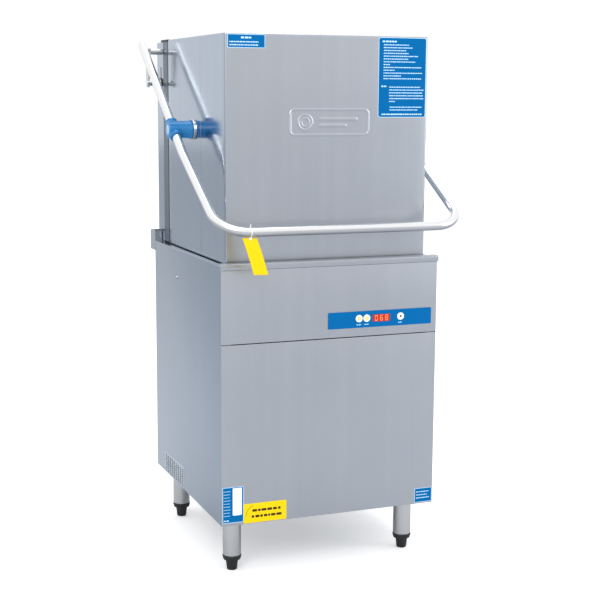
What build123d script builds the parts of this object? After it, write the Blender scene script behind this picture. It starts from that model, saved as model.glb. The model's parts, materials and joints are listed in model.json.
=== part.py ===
from build123d import *
import math
import os

# Hood-type commercial dishwasher for 500 mm racks. Millimetres, +Z up, the front faces -Y.
# Everything is laid out about the middle of the cabinet and moved by ORIGIN_Y when written,
# so that the origin lies on the floor under the middle of the overall box.
ORIGIN_Y = 30.0

# ---- driving dimensions -------------------------------------------------------------------
HALF_WIDTH = 320.0          # cabinet half width
FRONT_Y = -334.0            # outer face of the front panels
BACK_Y = 329.0              # outer face of the back panel
BASE_Z = 155.0              # underside of the bottom panel
TABLE_Z = 870.0             # top of the cabinet, level with the dish tables
SEAM_Z = 657.5              # joint between the two front panels
SEAM_GAP = 2.0
SHEET = 1.5                 # cabinet sheet
HOOD_SHEET = 1.2
PLATE = 2.0                 # folded structural plate

HOOD_HALF = 296.0
HOOD_FRONT_Y = -296.5
HOOD_BACK_Y = 249.0
HOOD_BOTTOM_Z = 856.0
HOOD_TOP_Z = 1480.0
HOOD_SEAM_Y = -80.0
HOOD_CORNER_R = 5.0

LEG_X, LEG_Y = 264.0, 252.0
LEG_R = 25.5
LEG_BOTTOM_Z = 44.0
FOOT_TOP_Z = 30.0
LEG_PLATE_THICK = 5.0
LEG_PLATE_HALF = 45.0

PIVOT_Y, PIVOT_Z = 326.0, 1354.0
SLEEVE_Y, SLEEVE_Z = -6.0, 1221.0
TUBE_R = 12.5
TUBE_WALL = 1.5
ARM_X = 352.0
ARM_TOP_Y = 334.0
ARM_SLOPE = 0.72           # rise per millimetre of depth, behind the kink
ARM_LOW_SLOPE = 0.5657       # the same, in front of the kink
KINK_Y = -92.0
BAR_Y = -427.0

COLUMN_X0, COLUMN_X1 = 236.0, 296.0
COLUMN_Y0, COLUMN_Y1 = 302.0, 366.0
COLUMN_TOP_Z = 1474.0
RAIL_Y0 = 252.0
RAIL_X0 = 256.0

RACK_Y = -37.0              # middle of the rack and of the wash arms
RUN_FIT = 0.06              # radial running clearance
GAP = 0.3                   # clearance between curved faces of fixed pieces
LAP = 0.2                   # clearance between flat faces that lie against each other


# ---- helpers ------------------------------------------------------------------------------
def block(x0, x1, y0, y1, z0, z1):
    """Box between two corners."""
    size = Box(abs(x1 - x0), abs(y1 - y0), abs(z1 - z0))
    return Pos((x0 + x1) / 2, (y0 + y1) / 2, (z0 + z1) / 2) * size


def rod_x(x0, x1, y, z, r):
    """Cylinder along X."""
    return Pos((x0 + x1) / 2, y, z) * Rot(0, 90, 0) * Cylinder(r, abs(x1 - x0))


def rod_y(x, y0, y1, z, r):
    """Cylinder along Y."""
    return Pos(x, (y0 + y1) / 2, z) * Rot(90, 0, 0) * Cylinder(r, abs(y1 - y0))


def rod_z(x, y, z0, z1, r):
    """Cylinder along Z."""
    return Pos(x, y, (z0 + z1) / 2) * Cylinder(r, abs(z1 - z0))


def mirrored(shape):
    """The same shape on the other side of the YZ plane."""
    return mirror(shape, about=Plane.YZ)


def both(shape):
    """A pair of left and right pieces as separate solids."""
    return [shape, mirrored(shape)]


def pipe(points, radii, r, wall):
    """Round pipe along straight runs joined by tangent arcs."""
    path = FilletPolyline(*points, radius=radii)
    ends = Plane(origin=path @ 0, z_dir=path % 0)
    outer = sweep(ends * Circle(r), path=path)
    if wall <= 0:
        return outer
    return outer - sweep(ends * Circle(r - wall), path=path)


def tray(x0, x1, y0, y1, z0, z1, wall, open_face):
    """Five-sided box with one open face, named by its axis and sign."""
    low, high = [x0, y0, z0], [x1, y1, z1]
    inner_low = [v + wall for v in low]
    inner_high = [v - wall for v in high]
    axis = "xyz".index(open_face[1])
    if open_face[0] == "+":
        inner_high[axis] = high[axis] + wall
    else:
        inner_low[axis] = low[axis] - wall
    pairs = [v for both_ends in zip(inner_low, inner_high) for v in both_ends]
    return block(x0, x1, y0, y1, z0, z1) - block(*pairs)


def at_corners(shape, x, y):
    """Four copies at the corners of a rectangle about the cabinet's middle."""
    return [Pos(sx * x, sy * y, 0) * shape for sx in (-1, 1) for sy in (-1, 1)]


PIECES = {}


def piece(name, *shapes):
    """Keep a finished piece, of one solid or of several separate ones."""
    PIECES[name] = list(shapes)


# ---- cabinet ------------------------------------------------------------------------------
ANGLE = 25.0                # leg of the frame's angle section
ANGLE_THICK = 3.0
FRAME_X = HALF_WIDTH - 3.5
FRAME_Y0, FRAME_Y1 = FRONT_Y + 3.5, BACK_Y - 3.5
FRAME_Z0 = BASE_Z + SHEET
FRAME_TOP_Z = 862.0

FLANGE = 16.0               # return along the top of a side panel
PANEL_RETURN = 14.0         # returns round a front panel
RETURN_SHORT = 4.0          # the side returns end this much short of the panel
LOUVRE_X = 150.0
LOUVRE_W, LOUVRE_H, LOUVRE_STEP = 150.0, 6.0, 22.0
LOUVRE_COUNT = 8
LOUVRE_Z0 = 420.0
SCREW_R, SCREW_HEAD = 4.5, 2.2
SIDE_SCREW_Y, SIDE_SCREW_Z = 86.0, 787.0
BACK_SCREW_X = 295.0
BACK_SCREW_Z = (190.0, 410.0, 630.0, 810.0)
PANEL_CUTOUT_X = (62.0, 226.0)
PANEL_CUTOUT_Z = (692.0, 725.0)

SPIGOT = 20.0               # length of the water connections behind the back panel
DRAIN_X, DRAIN_Z, DRAIN_R = 225.0, 230.0, 20.0
INLET_X, INLET_Z, INLET_R = 120.0, 260.0, 13.2
GLAND_X, GLAND_Z, GLAND_R = -250.0, 250.0, 12.0

RIM_LIP_Z0, RIM_TOP_Z = 859.0, 876.0
RIM_PROUD = 3.0             # the lip stands this much in front of the panel
RIM_SIDE = 2.0
RIM_FOLD = 6.0
GUTTER_Y = -310.0
THROUGH = 5.0               # how far a cutter passes both faces of a sheet


def base_frame():
    """Bottom ring and four corner uprights of steel angle."""
    outer = block(-FRAME_X, FRAME_X, FRAME_Y0, FRAME_Y1, FRAME_Z0, FRAME_Z0 + ANGLE)
    t = ANGLE_THICK
    upper = block(-FRAME_X + t, FRAME_X - t, FRAME_Y0 + t, FRAME_Y1 - t, FRAME_Z0 + t, FRAME_Z0 + ANGLE)
    lower = block(-FRAME_X + ANGLE, FRAME_X - ANGLE, FRAME_Y0 + ANGLE, FRAME_Y1 - ANGLE,
                  FRAME_Z0, FRAME_Z0 + t)
    frame = outer - upper - lower
    for sx in (-1, 1):
        x = sx * FRAME_X
        for y, sy in ((FRAME_Y0, 1), (FRAME_Y1, -1)):
            frame += block(x, x - sx * ANGLE, y, y + sy * t, FRAME_Z0, FRAME_TOP_Z)
            frame += block(x, x - sx * t, y, y + sy * ANGLE, FRAME_Z0, FRAME_TOP_Z)
    return frame


def side_panel():
    """Left side sheet with a return at its top edge."""
    y0, y1 = FRONT_Y + SHEET, BACK_Y - SHEET
    sheet = block(-HALF_WIDTH, -HALF_WIDTH + SHEET, y0, y1, BASE_Z, TABLE_Z)
    flange = block(-HALF_WIDTH, -HALF_WIDTH + FLANGE, y0, y1, TABLE_Z - SHEET, TABLE_Z)
    return sheet + flange


def front_panel(z0, z1):
    """Front sheet with returns on both sides, along the bottom and along the top."""
    y0, y1 = FRONT_Y, FRONT_Y + SHEET
    sheet = block(-HALF_WIDTH, HALF_WIDTH, y0, y1, z0, z1)
    edge = HALF_WIDTH - SHEET - LAP
    for sx in (-1, 1):
        sheet += block(sx * edge, sx * (edge - SHEET), y1, y1 + PANEL_RETURN, z0 + RETURN_SHORT, z1 - RETURN_SHORT)
    clear = FRAME_X - ANGLE - 1
    return sheet + block(-clear, clear, y1, y1 + PANEL_RETURN, z1 - SHEET, z1)


def back_panel():
    """Back sheet with two columns of cooling slots and holes for the services."""
    x = HALF_WIDTH - SHEET
    sheet = block(-x, x, BACK_Y - SHEET, BACK_Y, BASE_Z, TABLE_Z)
    y0, y1 = BACK_Y - THROUGH, BACK_Y + THROUGH
    for centre in (-LOUVRE_X, LOUVRE_X):
        for i in range(LOUVRE_COUNT):
            z = LOUVRE_Z0 + i * LOUVRE_STEP
            sheet -= block(centre - LOUVRE_W / 2, centre + LOUVRE_W / 2, y0, y1, z, z + LOUVRE_H)
    services = ((DRAIN_X, DRAIN_Z, DRAIN_R), (INLET_X, INLET_Z, INLET_R), (GLAND_X, GLAND_Z, GLAND_R))
    for hole_x, hole_z, r in services:
        sheet -= rod_y(hole_x, y0, y1, hole_z, r + GAP)
    return sheet


def build_cabinet():
    piece("base_frame", base_frame())
    floor_x, floor_y0, floor_y1 = HALF_WIDTH - SHEET, FRONT_Y + SHEET, BACK_Y - SHEET
    piece("bottom_panel", block(-floor_x, floor_x, floor_y0, floor_y1, BASE_Z, BASE_Z + SHEET))
    piece("side_panels", *both(side_panel()))
    piece("back_panel", back_panel())
    piece("front_panel_lower", front_panel(BASE_Z, SEAM_Z - SEAM_GAP / 2))
    upper = front_panel(SEAM_Z + SEAM_GAP / 2, RIM_LIP_Z0)
    cutout = block(*PANEL_CUTOUT_X, FRONT_Y - THROUGH, FRONT_Y + THROUGH, *PANEL_CUTOUT_Z)
    piece("front_panel_upper", upper - cutout)
    screw = rod_x(-HALF_WIDTH - SCREW_HEAD, -HALF_WIDTH, SIDE_SCREW_Y, SIDE_SCREW_Z, SCREW_R)
    backs = [rod_y(sx * BACK_SCREW_X, BACK_Y, BACK_Y + SCREW_HEAD, z, SCREW_R)
             for sx in (-1, 1) for z in BACK_SCREW_Z]
    piece("panel_screws", *both(screw), *backs)


def build_rim():
    """Rolled lip along the front of the table top, with the splash fold behind it."""
    x = HALF_WIDTH + RIM_SIDE
    lip = block(-x, x, FRONT_Y - RIM_PROUD, FRONT_Y, RIM_LIP_Z0, RIM_TOP_Z)
    lip += block(-x, x, FRONT_Y - RIM_PROUD, GUTTER_Y, RIM_TOP_Z - RIM_FOLD, RIM_TOP_Z)
    lip += block(-HOOD_HALF, HOOD_HALF, GUTTER_Y - SHEET, GUTTER_Y, TABLE_Z, RIM_TOP_Z)
    long_edges = lip.edges().filter_by(Axis.X).group_by(Axis.Y)[0]
    piece("top_rim", fillet(long_edges, RIM_PROUD - LAP))


# ---- legs and feet ------------------------------------------------------------------------
STEM_R = 8.0
STEM_TOP_Z = 96.0
STEM_SLACK = 0.5
RING_R, RING_TAPER = 27.0, 3.0
PLUG_LENGTH = 18.0
TOE_R, TOE_TOP_R, TOE_ROUND = 14.5, 17.5, 3.0


def leg_insert():
    """Moulded nut ring: a tapered collar under the tube and a plug inside it."""
    collar = loft([Pos(0, 0, FOOT_TOP_Z) * Circle(RING_R - RING_TAPER), Pos(0, 0, LEG_BOTTOM_Z) * Circle(RING_R)])
    top = LEG_BOTTOM_Z + PLUG_LENGTH
    plug = rod_z(0, 0, LEG_BOTTOM_Z, top, LEG_R - SHEET - GAP)
    return collar + plug - rod_z(0, 0, FOOT_TOP_Z - THROUGH, top + THROUGH, STEM_R + STEM_SLACK)


def bullet_foot():
    """Tapered foot with a rounded toe and its moulded stem."""
    toe = loft([Circle(TOE_R), Pos(0, 0, FOOT_TOP_Z) * Circle(TOE_TOP_R)])
    toe = fillet(toe.edges().group_by(Axis.Z)[0], TOE_ROUND)
    return toe + rod_z(0, 0, FOOT_TOP_Z, STEM_TOP_Z, STEM_R)


def build_legs():
    top = BASE_Z - LEG_PLATE_THICK
    plate = block(-LEG_PLATE_HALF, LEG_PLATE_HALF, -LEG_PLATE_HALF, LEG_PLATE_HALF, top, BASE_Z)
    tube = rod_z(0, 0, LEG_BOTTOM_Z, top, LEG_R) - rod_z(0, 0, LEG_BOTTOM_Z - 1, top, LEG_R - SHEET)
    piece("legs", *at_corners(plate + tube, LEG_X, LEG_Y))
    piece("leg_inserts", *at_corners(leg_insert(), LEG_X, LEG_Y))
    for side, sx in (("left", -1), ("right", 1)):
        for end, sy in (("front", -1), ("rear", 1)):
            piece(f"foot_{end}_{side}", Pos(sx * LEG_X, sy * LEG_Y, 0) * bullet_foot())


# ---- tank ---------------------------------------------------------------------------------
COLLAR_X, COLLAR_Y0, COLLAR_Y1 = 303.0, -306.0, 263.0
SHOULDER_Z = 800.0
SUMP_X, SUMP_Y0, SUMP_Y1 = 252.0, -258.0, 202.0
SUMP_Z = 640.0
TANK_TOP_Z = TABLE_Z - SHEET
RISER_Y, RISER_R = 233.0, 12.0
STANDPIPE_X, STANDPIPE_Y, STANDPIPE_R, PLUG_R = 225.0, 165.0, 16.0, 22.0
SUCTION_X, SUCTION_Y, SUCTION_R = 100.0, -82.0, 24.0
MANIFOLD_R = 20.0
HEATER_X, HEATER_Z, HEATER_R = 170.0, 668.0, 4.0
HEATER_BEND = 30.0
HEATER_FRONT_Y, HEATER_OUT = SUMP_Y0 + 40.0, 16.0
TANK_INSET = 2.0
TANK_X = HALF_WIDTH - TANK_INSET

ROD_R, TRACK_LEG_R = 4.0, 3.2
TRACK_X, TRACK_HALF_Y = 282.0, 241.0
TRACK_Z = 868.0
TRACK_DROP = 6.0            # the cross rods lie this much under the sliding rods
TRACK_LEG_Y = 221.0
INNER_ROD_Y = 100.0

STRAINER_Y0, STRAINER_Y1 = -268.0, 212.0
STRAINER_X0, STRAINER_X1 = 1.0, 266.0
POCKET_X = (190.0, 270.0)
POCKET_Y = (112.0, 220.0)
POCKET_EDGE = 8.0           # plain edge kept round the pocket
SLOT_W, SLOT_L = 5.0, 34.0
SLOT_X0, SLOT_Y0 = 48.0, -246.0
SLOT_STEP_X, SLOT_STEP_Y = 44.0, 16.0
SLOT_COLUMNS, SLOT_ROWS = 5, 27

BASKET_X, BASKET_Y = -225.0, 156.0
BASKET_HALF_X, BASKET_HALF_Y, BASKET_DEPTH = 22.0, 32.0, 62.0
BASKET_WALL = 1.2
BASKET_UP = 3.0             # the basket's rim lies this much above the strainer's seat
BASKET_RIM_X, BASKET_RIM_Y = 31.0, 39.0
BASKET_SLOT, BASKET_SLOT_STEP, BASKET_SLOTS = 4.0, 10.0, 5
BAIL_HALF, BAIL_BAR, BAIL_TOP = 2.0, 4.0, 30.0

STANDPIPE_TOP_Z = 790.0
STANDPIPE_WALL, STANDPIPE_PLUG = 2.0, 14.0
GRIP_HALF_X, GRIP_HALF_Y, GRIP_BAR = 16.0, 2.0, 5.0
GRIP_Z = (782.0, 815.0)


def wash_tank():
    """Pressed tank: a wide collar that takes the hood's lower edge, a shoulder and a sump."""
    t = SHEET
    outer = block(-COLLAR_X, COLLAR_X, COLLAR_Y0, COLLAR_Y1, SHOULDER_Z, TANK_TOP_Z)
    outer += block(-SUMP_X, SUMP_X, SUMP_Y0, SUMP_Y1, SUMP_Z, SHOULDER_Z)
    outer += block(-TANK_X, TANK_X, FRONT_Y + TANK_INSET, BACK_Y - TANK_INSET, TANK_TOP_Z - t, TANK_TOP_Z)
    inner = block(-COLLAR_X + t, COLLAR_X - t, COLLAR_Y0 + t, COLLAR_Y1 - t, SHOULDER_Z + t, TABLE_Z)
    inner += block(-SUMP_X + t, SUMP_X - t, SUMP_Y0 + t, SUMP_Y1 - t, SUMP_Z + t, TABLE_Z)
    tank = outer - inner
    holes = ((0, RACK_Y, MANIFOLD_R), (SUCTION_X, SUCTION_Y, SUCTION_R), (STANDPIPE_X, STANDPIPE_Y, DRAIN_R))
    for x, y, r in holes:
        tank -= rod_z(x, y, SUMP_Z - THROUGH, SUMP_Z + THROUGH, r + GAP)
    tank -= rod_z(0, RISER_Y, SHOULDER_Z - THROUGH, SHOULDER_Z + THROUGH, RISER_R + GAP)
    for sx in (-1, 1):
        tank -= rod_y(sx * HEATER_X, SUMP_Y1 - THROUGH, SUMP_Y1 + THROUGH, HEATER_Z, HEATER_R + GAP)
    return tank


def rack_track():
    """Rod frame that the rack slides on, standing on the tank's shoulder by four legs."""
    low = TRACK_Z - TRACK_DROP
    track = Part()
    for dy in (-TRACK_HALF_Y, -INNER_ROD_Y, INNER_ROD_Y, TRACK_HALF_Y):
        track += rod_x(-TRACK_X - ROD_R, TRACK_X + ROD_R, RACK_Y + dy, TRACK_Z, ROD_R)
    for x in (-TRACK_X, TRACK_X):
        track += rod_y(x, RACK_Y - TRACK_HALF_Y - ROD_R, RACK_Y + TRACK_HALF_Y + ROD_R, low, ROD_R)
        for dy in (-TRACK_LEG_Y, TRACK_LEG_Y):
            track += rod_z(x, RACK_Y + dy, SHOULDER_Z + SHEET, low, TRACK_LEG_R)
    return track


def strainer(side):
    """Perforated plate over half of the sump, with a pocket cut out of its rear corner."""
    z0 = SHOULDER_Z + SHEET
    low, high = z0 - THROUGH, z0 + THROUGH
    plate = block(side * STRAINER_X0, side * STRAINER_X1, STRAINER_Y0, STRAINER_Y1, z0, z0 + SHEET)
    plate -= rod_z(0, RACK_Y, low, high, MANIFOLD_R + 3)
    plate -= block(side * POCKET_X[0], side * POCKET_X[1], *POCKET_Y, low, high)
    slots = []
    for i in range(SLOT_COLUMNS):
        x = side * (SLOT_X0 + i * SLOT_STEP_X)
        for j in range(SLOT_ROWS):
            y = SLOT_Y0 + j * SLOT_STEP_Y
            beside = abs(x) + SLOT_L / 2 > POCKET_X[0] - POCKET_EDGE
            if not (beside and y + SLOT_W > POCKET_Y[0] - POCKET_EDGE):
                slots.append(block(x - SLOT_L / 2, x + SLOT_L / 2, y, y + SLOT_W, low, high))
    return plate - slots


def scrap_basket():
    """Perforated basket hung by its rim in the left strainer's pocket, with a lifting bail."""
    z = SHOULDER_Z + SHEET
    rim_z = z + BASKET_UP
    x, y, t = BASKET_HALF_X, BASKET_HALF_Y, BASKET_WALL
    body = tray(-x, x, -y, y, z - BASKET_DEPTH, rim_z, t, "+z")
    rim = block(-BASKET_RIM_X, BASKET_RIM_X, -BASKET_RIM_Y, BASKET_RIM_Y, rim_z, rim_z + SHEET)
    rim -= block(-x + t, x - t, -y + t, y - t, z, rim_z + THROUGH)
    for i in range(BASKET_SLOTS):
        low = z - BASKET_DEPTH + 2 * BASKET_SLOT + i * BASKET_SLOT_STEP
        body -= block(-x - THROUGH, x + THROUGH, -y + 6, y - 6, low, low + BASKET_SLOT)
    bail = block(-BAIL_HALF, BAIL_HALF, -y, y, rim_z, z + BAIL_TOP)
    bail -= block(-THROUGH, THROUGH, -y + BAIL_BAR, y - BAIL_BAR, z, z + BAIL_TOP - BAIL_BAR)
    return Pos(BASKET_X, BASKET_Y, 0) * (body + rim + bail)


def standpipe():
    """Overflow pipe that plugs the sump's outlet; it is lifted out to empty the tank."""
    z0 = SUMP_Z + SHEET
    low, high = GRIP_Z
    tube = rod_z(0, 0, z0, STANDPIPE_TOP_Z, STANDPIPE_R)
    tube += rod_z(0, 0, z0, z0 + STANDPIPE_PLUG, PLUG_R)
    tube -= rod_z(0, 0, z0 - THROUGH, STANDPIPE_TOP_Z + THROUGH, STANDPIPE_R - STANDPIPE_WALL)
    grip = block(-GRIP_HALF_X, GRIP_HALF_X, -GRIP_HALF_Y, GRIP_HALF_Y, low, high)
    inside = GRIP_HALF_X - GRIP_BAR
    grip -= block(-inside, inside, -THROUGH, THROUGH, low - THROUGH, high - GRIP_BAR)
    return Pos(STANDPIPE_X, STANDPIPE_Y, 0) * (tube + grip)


def tank_heater():
    """Hairpin immersion heater whose two ends leave through the sump's rear wall."""
    x, front, out = HEATER_X, HEATER_FRONT_Y, SUMP_Y1 + HEATER_OUT
    loop = [(-x, out, HEATER_Z), (-x, front, HEATER_Z), (x, front, HEATER_Z), (x, out, HEATER_Z)]
    return pipe(loop, HEATER_BEND, HEATER_R, 0)


def build_tank():
    piece("wash_tank", wash_tank())
    piece("rack_track", rack_track())
    piece("strainers", strainer(-1), strainer(1))
    piece("scrap_basket", scrap_basket())
    piece("overflow_standpipe", standpipe())
    piece("heating_elements", tank_heater(), boiler_heater())


# ---- wash and rinse arms ------------------------------------------------------------------
SPINDLE_R = 8.0
WASH_HALF, RINSE_HALF = 236.0, 226.0
LOWER_WASH_Z, LOWER_RINSE_Z = (822.0, 840.0), (846.0, 856.0)
UPPER_WASH_Z, UPPER_RINSE_Z = (1376.0, 1394.0), (1360.0, 1370.0)
NUT_R = 15.0
HUB_R = 24.0
UPPER_PIPE_Z = 1432.0
LOWER_SPINDLE_TOP, UPPER_SPINDLE_END = 864.0, 1346.0
SPINDLE_STEP = 12.0         # the spindle's shoulder lies this much under the wash arm
HUB_UP = 2.0                # the hubs stand this much above and below the arms
NUT_TOP_Z, NUT_GAP = 871.0, 3.0
NOZZLE_W, NOZZLE_EDGE, HUB_KEEP = 3.0, 18.0, 60.0
NOZZLE_DEEP = 4.0
WASH_ARM_W, RINSE_ARM_W = 22.0, 9.0
WASH_JETS, RINSE_JETS = 5, 6
MANIFOLD_LOW_Z = SUMP_Z - 40.0
RISER_LOW_Z, RISER_BEND = SUMP_Z - 24.0, 22.0
HEAD_R = 18.0


def spray_arm(half_length, half_width, z_range, nozzle_up, jets):
    """Hollow arm with rounded tips, a hub bored for the spindle and a row of slotted jets."""
    z0, z1 = z_range
    height = z1 - z0
    blade = Pos(0, RACK_Y, z0) * extrude(SlotOverall(2 * half_length, 2 * half_width), height)
    hollow = SlotOverall(2 * half_length - 4, 2 * half_width - 4)
    blade -= Pos(0, RACK_Y, z0 + SHEET) * extrude(hollow, height - 2 * SHEET)
    arm = blade + rod_z(0, RACK_Y, z0 - HUB_UP, z1 + HUB_UP, HUB_R)
    arm -= rod_z(0, RACK_Y, z0 - THROUGH, z1 + THROUGH, SPINDLE_R + RUN_FIT)
    face = z1 if nozzle_up else z0
    low, high = face - NOZZLE_DEEP, face + NOZZLE_DEEP
    y0, y1 = RACK_Y - half_width / 2, RACK_Y + half_width / 2
    for sx in (-1, 1):
        for i in range(jets):
            x = sx * (half_length - NOZZLE_EDGE - i * (half_length - HUB_KEEP) / jets)
            arm -= block(x - NOZZLE_W / 2, x + NOZZLE_W / 2, y0, y1, low, high)
    return arm


def build_arms():
    y = RACK_Y
    seat, step = LOWER_WASH_Z[0] - 2 * HUB_UP, LOWER_WASH_Z[0] - SPINDLE_STEP
    post = rod_z(0, y, MANIFOLD_LOW_Z, seat, MANIFOLD_R)
    post -= rod_z(0, y, MANIFOLD_LOW_Z - THROUGH, step, MANIFOLD_R - PLATE)
    post += rod_z(0, y, step, LOWER_SPINDLE_TOP, SPINDLE_R)
    piece("lower_manifold", post)
    run = [(0, y + MANIFOLD_R + GAP, RISER_LOW_Z), (0, RISER_Y, RISER_LOW_Z), (0, RISER_Y, UPPER_PIPE_Z),
           (0, y, UPPER_PIPE_Z)]
    head = rod_z(0, y, UPPER_WASH_Z[1] + NUT_GAP, UPPER_PIPE_Z + RISER_R + 4, HEAD_R)
    head += rod_z(0, y, UPPER_SPINDLE_END, UPPER_WASH_Z[1] + THROUGH, SPINDLE_R)
    piece("riser_pipe", pipe(run, RISER_BEND, RISER_R, SHEET) + head)
    low_nut = rod_z(0, y, LOWER_RINSE_Z[1] + NUT_GAP, NUT_TOP_Z, NUT_R)
    low_nut -= rod_z(0, y, LOWER_RINSE_Z[0], LOWER_SPINDLE_TOP, SPINDLE_R)
    high_nut = rod_z(0, y, UPPER_SPINDLE_END - THROUGH, UPPER_RINSE_Z[0] - NUT_GAP, NUT_R)
    high_nut -= rod_z(0, y, UPPER_SPINDLE_END, UPPER_RINSE_Z[0], SPINDLE_R)
    piece("arm_nuts", low_nut, high_nut)
    piece("lower_wash_arm", spray_arm(WASH_HALF, WASH_ARM_W, LOWER_WASH_Z, True, WASH_JETS))
    piece("lower_rinse_arm", spray_arm(RINSE_HALF, RINSE_ARM_W, LOWER_RINSE_Z, True, RINSE_JETS))
    piece("upper_wash_arm", spray_arm(WASH_HALF, WASH_ARM_W, UPPER_WASH_Z, False, WASH_JETS))
    piece("upper_rinse_arm", spray_arm(RINSE_HALF, RINSE_ARM_W, UPPER_RINSE_Z, False, RINSE_JETS))


# ---- water and power in the base ----------------------------------------------------------
PUMP_Y, PUMP_Z = -82.0, 470.0
VOLUTE_R, VOLUTE_HALF = 75.0, 26.0
SHAFT_R = 8.0
BOILER_X, BOILER_Y, BOILER_R = -200.0, 130.0, 85.0
BOILER_Z0, BOILER_Z1 = 215.0, 545.0
BOILER_ROUND, BOILER_NECK, BOILER_NECK_R = 25.0, 22.0, 10.0
PLUG_HEX_R, PLUG_THREAD_R, PLUG_HEAD = 34.0, 26.0, 14.0
ELEMENT_HALF, ELEMENT_LENGTH = 14.0, 230.0
VOLUTE_WALL = 4.0
MOTOR_X, MOTOR_R, MOTOR_WALL = (-200.0, -VOLUTE_HALF - LAP), 62.0, 6.0
MOTOR_FOOT_X, MOTOR_FOOT_Y, MOTOR_FOOT_Z = (-170.0, -60.0), 50.0, (392.0, 412.0)
SHAFT_X, CORE_X, CORE_R = (-185.0, 14.0), (-165.0, -60.0), 40.0
DISC_X, DISC_R = (-16.0, -12.0), 60.0
VANES, VANE_X, VANE_Y, VANE_Z = 6, (-12.0, 0.0), 2.0, (14.0, 58.0)

VALVE_HALF, VALVE_Y = 22.0, (BACK_Y - 75.0, BACK_Y - 28.0)
VALVE_UP = 20.0
COIL_Y, COIL_R, COIL_UP = BACK_Y - 52.0, 16.0, 62.0
INLET_BORE, INLET_BORE_Y = 9.0, BACK_Y - 20.0
FEED_X, FEED_R, FEED_BEND, FEED_UP = 40.0, 7.0, 14.0, 40.0
HOSE_BEND = 45.0
GLAND_Y, GLAND_NUT_R, GLAND_NUT_LONG, GLAND_BORE = (BACK_Y - 14.0, BACK_Y + 2.0), 15.0, 14.0, 6.5

BOX_X, BOX_Y, BOX_Z = (120.0, 284.0), (-316.0, -210.0), (186.0, 440.0)
CONTACTOR_X, CONTACTOR_Z = (130.0, 180.0, 230.0), (210.0, 330.0)
CONTACTOR_W, CONTACTOR_DEEP, CONTACTOR_TALL = 40.0, 62.0, 70.0

FASCIA_X, FASCIA_Z, FASCIA_THICK = (-12.0, 303.0), (683.0, 729.0), 1.6
FASCIA_ROUND = 3.0
DISPLAY_X, DISPLAY_Z = (122.0, 175.0), (697.5, 718.0)
WINDOW_OUT = 1.2
BUTTONS = {"button_left": 80.4, "button_right": 103.7, "button_start": 207.3}
BUTTON_Z, BUTTON_R, BUTTON_PROUD, BUTTON_TRAVEL = 709.0, 10.4, 1.6, 1.2
BUTTON_SLACK, BUTTON_FLANGE, PLUNGER_R = 0.4, 0.9, 3.0
BOARD_Y = FRONT_Y + 14.0
BOARD_X, BOARD_Z = (66.0, 244.0), (690.0, 726.0)


def build_pump():
    y, z, half = PUMP_Y, PUMP_Z, VOLUTE_HALF
    volute = rod_x(-half, half, y, z, VOLUTE_R)
    volute += rod_z(0, RACK_Y, z, MANIFOLD_LOW_Z - 2, MANIFOLD_R)
    volute -= rod_x(-half + VOLUTE_WALL, half - VOLUTE_WALL, y, z, VOLUTE_R - VOLUTE_WALL)
    volute -= rod_z(0, RACK_Y, z, MANIFOLD_LOW_Z, MANIFOLD_R - PLATE)
    volute -= rod_x(0, half + THROUGH, y, z, SUCTION_R - PLATE)
    volute -= rod_x(-half - THROUGH, 0, y, z, SHAFT_R + RUN_FIT)
    piece("pump_volute", volute)
    x0, x1 = MOTOR_X
    foot = block(*MOTOR_FOOT_X, y - MOTOR_FOOT_Y, y + MOTOR_FOOT_Y, *MOTOR_FOOT_Z)
    motor = rod_x(x0, x1, y, z, MOTOR_R) + foot
    motor -= rod_x(x0 + MOTOR_WALL, x1 - 2 * MOTOR_WALL, y, z, MOTOR_R - MOTOR_WALL)
    motor -= rod_x(CORE_X[1], 0, y, z, SHAFT_R + RUN_FIT)
    piece("pump_motor_case", motor)
    rotor = rod_x(*SHAFT_X, y, z, SHAFT_R) + rod_x(*CORE_X, y, z, CORE_R) + rod_x(*DISC_X, y, z, DISC_R)
    for i in range(VANES):
        vane = block(*VANE_X, -VANE_Y, VANE_Y, *VANE_Z)
        rotor += Pos(0, y, z) * Rot(360 * i / VANES, 0, 0) * vane
    piece("pump_rotor", rotor)


def boiler_heater():
    """Screwed plug with a hairpin element that reaches up into the boiler."""
    x, y, z = BOILER_X, BOILER_Y, BOILER_Z0
    half, top = ELEMENT_HALF, z + ELEMENT_LENGTH
    plug = rod_z(x, y, z - PLUG_HEAD, z, PLUG_HEX_R) + rod_z(x, y, z, z + 2 * HEATER_R, PLUG_THREAD_R - GAP)
    for sx in (-1, 1):
        plug += rod_z(x + sx * half, y, z, top, HEATER_R)
    return plug + rod_x(x - half, x + half, y, top - HEATER_R, HEATER_R)


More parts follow.
